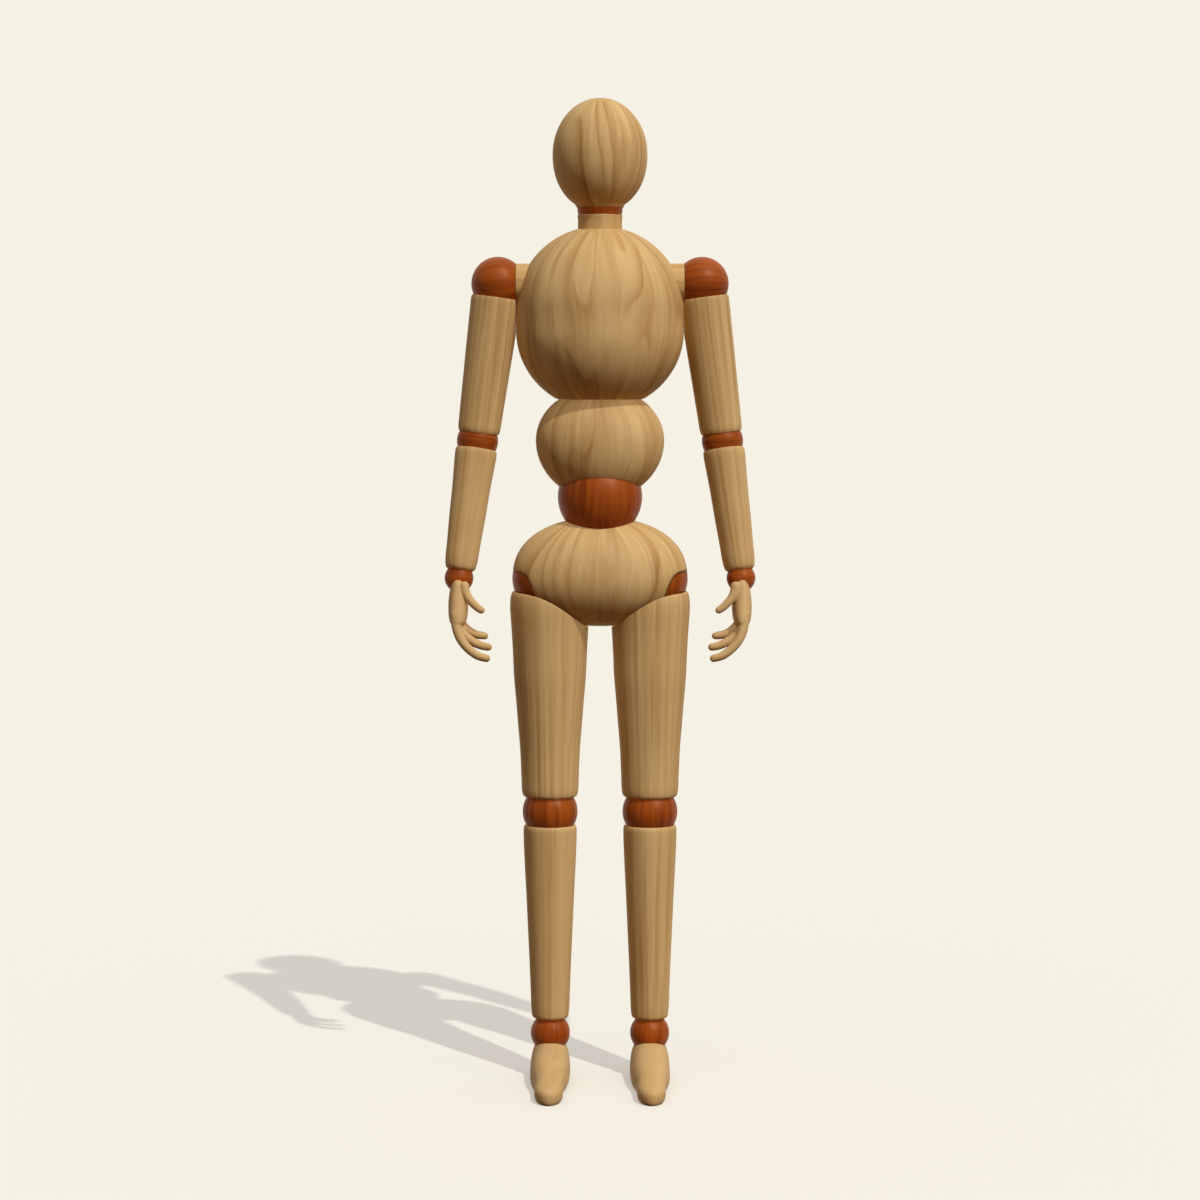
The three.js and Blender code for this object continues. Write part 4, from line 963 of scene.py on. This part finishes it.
def makeHand(side, label, place, wristFrame):
    # carved from one block, so fingers and palm run into each other
    whole = bmesh.new()
    whole.from_mesh(palmMesh(side))
    for start, radii, path in handShape["fingers"]:
        whole.from_mesh(fingerMesh(start, radii, path, side))
    mesh = bpy.data.meshes.new(label + "_hand_carved")
    whole.to_mesh(mesh)
    whole.free()
    hand = putDown(mesh, place)
    melt = hand.modifiers.new("melt", "REMESH")
    melt.mode = "VOXEL"
    melt.voxel_size = handShape["voxel"] * mm
    soften = hand.modifiers.new("soften", "SMOOTH")
    soften.factor = handShape["soften"]
    soften.iterations = handShape["softenings"]
    settle(hand)
    carve(hand, [
        (ballMesh("hole", joints["wrist"]["radius"] + snug, roundness["small"]), place),
        (tonguePocket("wrist", side * armHang["tilt"]), wristFrame),
    ])
    finish(hand, label + "_hand", carvedWood, boardRadius["hand"], sharp=handShape["sharp"])


armHang = {"tilt": math.radians(7.6), "bend": math.radians(6.9), "upper": 48.2, "lower": 42.3}


def makeArm(side, label):
    shoulder, hang, mirrored = joints["shoulder"], armHang, side > 0
    centre = Vector((side * shoulder["x"], 0, shoulder["z"]))
    shoulderFrame = jointFrame(centre, yAxis, -zAxis)
    half, long = flatBlock["half"], flatBlock["long"]
    near, far = (-long, 0) if side > 0 else (0, long)
    flatPlace = spot(side * shoulder["flat"], 0, shoulder["z"])

    def flatCut():
        # the ball and arm are flat where they meet the end of the shoulder bar
        return blockMesh("flat", (near, -half, -half), (far, half, half)), flatPlace

    jointBall("shoulder", label + "_shoulder_ball", shoulderFrame, rest=hang["tilt"], mirrored=mirrored,
              turn=grainAcross, extra=[flatCut()])

    tilt = Matrix.Rotation(-side * hang["tilt"], 4, "Y")
    bend = Matrix.Rotation(-hang["bend"], 4, "X")
    elbow = centre + tilt @ Vector((0, 0, -hang["upper"]))
    wrist = elbow + tilt @ bend @ Vector((0, 0, -hang["lower"]))
    armPlace, forearmPlace = spot(*centre) @ tilt, spot(*elbow) @ tilt @ bend
    leaning, turned = tilt.to_3x3(), (tilt @ bend).to_3x3()
    elbowFrame = jointFrame(elbow, leaning @ xAxis, leaning @ -zAxis)
    wristFrame = jointFrame(wrist, turned @ yAxis, turned @ -zAxis)

    makeLimb(label + "_upper_arm", "upperArm", hang["upper"], armPlace, [
        flatCut(), (tonguePocket("shoulder", hang["tilt"], mirrored), shoulderFrame),
        (stemHole("elbow"), elbowFrame),
    ])
    jointBall("elbow", label + "_elbow_ball", elbowFrame, rest=-hang["bend"], turn=grainAlongPin)
    makeLimb(label + "_forearm", "forearm", hang["lower"], forearmPlace, [
        (tonguePocket("elbow", -hang["bend"]), elbowFrame), (stemHole("wrist"), wristFrame),
    ])
    jointBall("wrist", label + "_wrist_ball", wristFrame, rest=side * hang["tilt"], turn=grainAcross)
    makeHand(side, label, spot(*wrist), wristFrame)


for side, label in ((-1, "right"), (1, "left")):
    makeArm(side, label)
    makeLeg(side, label)
    print(label, "arm and leg made")


# floor, light and camera

stageLook = {
    "backdrop": fromPaint(246, 241, 229), "shadow": fromPaint(207, 202, 193), "table": fromPaint(80, 50, 24),
    "floorSize": 12.0, "sunTint": (1.0, 1.01, 1.06), "sunSize": 0.8,
    # each lamp as (strength, direction it comes from, whether it casts shadows)
    "lamps": {"key": (1.3, (0.394, -0.651, 1.0), True), "wash": (1.42, (0.7, -0.82, 0.92), False)},
    "sky": (0.50, 0.54, 0.59), "horizon": (0.17, 0.075, 0.008),
    "skyShare": 2 / 3,       # of the sky in the soft light on the floor, the rest is horizon
    "softShare": 0.86,       # of that soft light that still reaches the shadow
}


def makeSun(name, energy, source, shadow):
    sun = bpy.data.lights.new(name, "SUN")
    sun.energy, sun.use_shadow = energy, shadow
    sun.color = stageLook["sunTint"]
    sun.angle = math.radians(stageLook["sunSize"])
    putDown(sun, Vector(source).to_track_quat("Z", "Y").to_matrix().to_4x4())


def seenDirectly(kit):
    # 1 for rays straight from the eye, and for those that metal or glass sends on
    ray = kit.add("ShaderNodeLightPath").outputs
    sentOn = kit.calc("MAXIMUM", ray["Is Glossy Ray"], ray["Is Transmission Ray"])
    return kit.calc("MAXIMUM", ray["Is Camera Ray"], sentOn)


def makeStage():
    # two lamps from one side: the key casts the shadow, the wash only models the forms
    look = stageLook
    for name, (energy, source, shadow) in look["lamps"].items():
        makeSun(name, energy, source, shadow)

    # soft light, stronger from above; the camera sees a plain pale backdrop
    world = bpy.data.worlds.new("studio")
    bpy.context.scene.world = world
    kit = nodeKit(world)
    world.node_tree.nodes.clear()
    way = kit.add("ShaderNodeSeparateXYZ", Vector=kit.add("ShaderNodeTexCoord").outputs["Generated"])
    colour = kit.blend(way.outputs["Z"], look["horizon"] + (1,), look["sky"] + (1,))
    glow, plain = [kit.add("ShaderNodeBackground", Color=value) for value in (colour, look["backdrop"])]
    choose = kit.add("ShaderNodeMixShader")
    for socket, value in zip(choose.inputs, (seenDirectly(kit), glow.outputs[0], plain.outputs[0])):
        kit.feed(socket, value)
    kit.add("ShaderNodeOutputWorld", Surface=choose.outputs[0])

    # seen by the camera, the lit floor equals the backdrop and keeps a pale shadow
    paint, glowing = [], []
    keyFall, washFall = [energy * Vector(source).normalized().z / math.pi
                         for energy, source, shadow in look["lamps"].values()]
    colours = [look[kind] for kind in ("sunTint", "sky", "horizon", "backdrop", "shadow")]
    for tint, high, low, bright, dark in zip(*colours):
        soft = low + (high - low) * look["skyShare"]
        lit = tint * (keyFall + washFall) + soft
        dim = tint * washFall + look["softShare"] * soft
        share = (bright - dark) / (lit - dim)
        paint.append(share)
        glowing.append(bright - share * lit)
    material, kit, surface = newMaterial("pale floor")
    direct = seenDirectly(kit)
    kit.feed(surface["Base Color"], kit.blend(direct, look["table"], tuple(paint) + (1,)))
    kit.feed(surface["Roughness"], 1.0)
    kit.feed(surface["Specular IOR Level"], 0.0)
    kit.feed(surface["Emission Color"], tuple(glowing) + (1,))
    kit.feed(surface["Emission Strength"], direct)
    half = look["floorSize"] / 2
    mesh = bpy.data.meshes.new("floor")
    corners = [(-half, -half, 0), (half, -half, 0), (half, half, 0), (-half, half, 0)]
    mesh.from_pydata(corners, [], [(0, 1, 2, 3)])
    mesh.materials.append(material)
    floor = putDown(mesh, Matrix.Identity(4))


cameraLook = {
    "distance": 911.8, "height": 207.4, "pitch": 86.246, "lens": 89.49, "sensor": 36.0, "farthest": 100.0,
}


def makeCamera():
    look = cameraLook
    camera = bpy.data.cameras.new("camera")
    camera.lens, camera.sensor_width, camera.clip_end = look["lens"], look["sensor"], look["farthest"]
    tip = Matrix.Rotation(math.radians(look["pitch"]), 4, "X")
    bpy.context.scene.camera = putDown(camera, spot(0, -look["distance"], look["height"]) @ tip)


makeStage()
makeCamera()
bpy.context.scene.view_settings.view_transform = "Standard"
print("stage set")

bpy.context.view_layer.update()
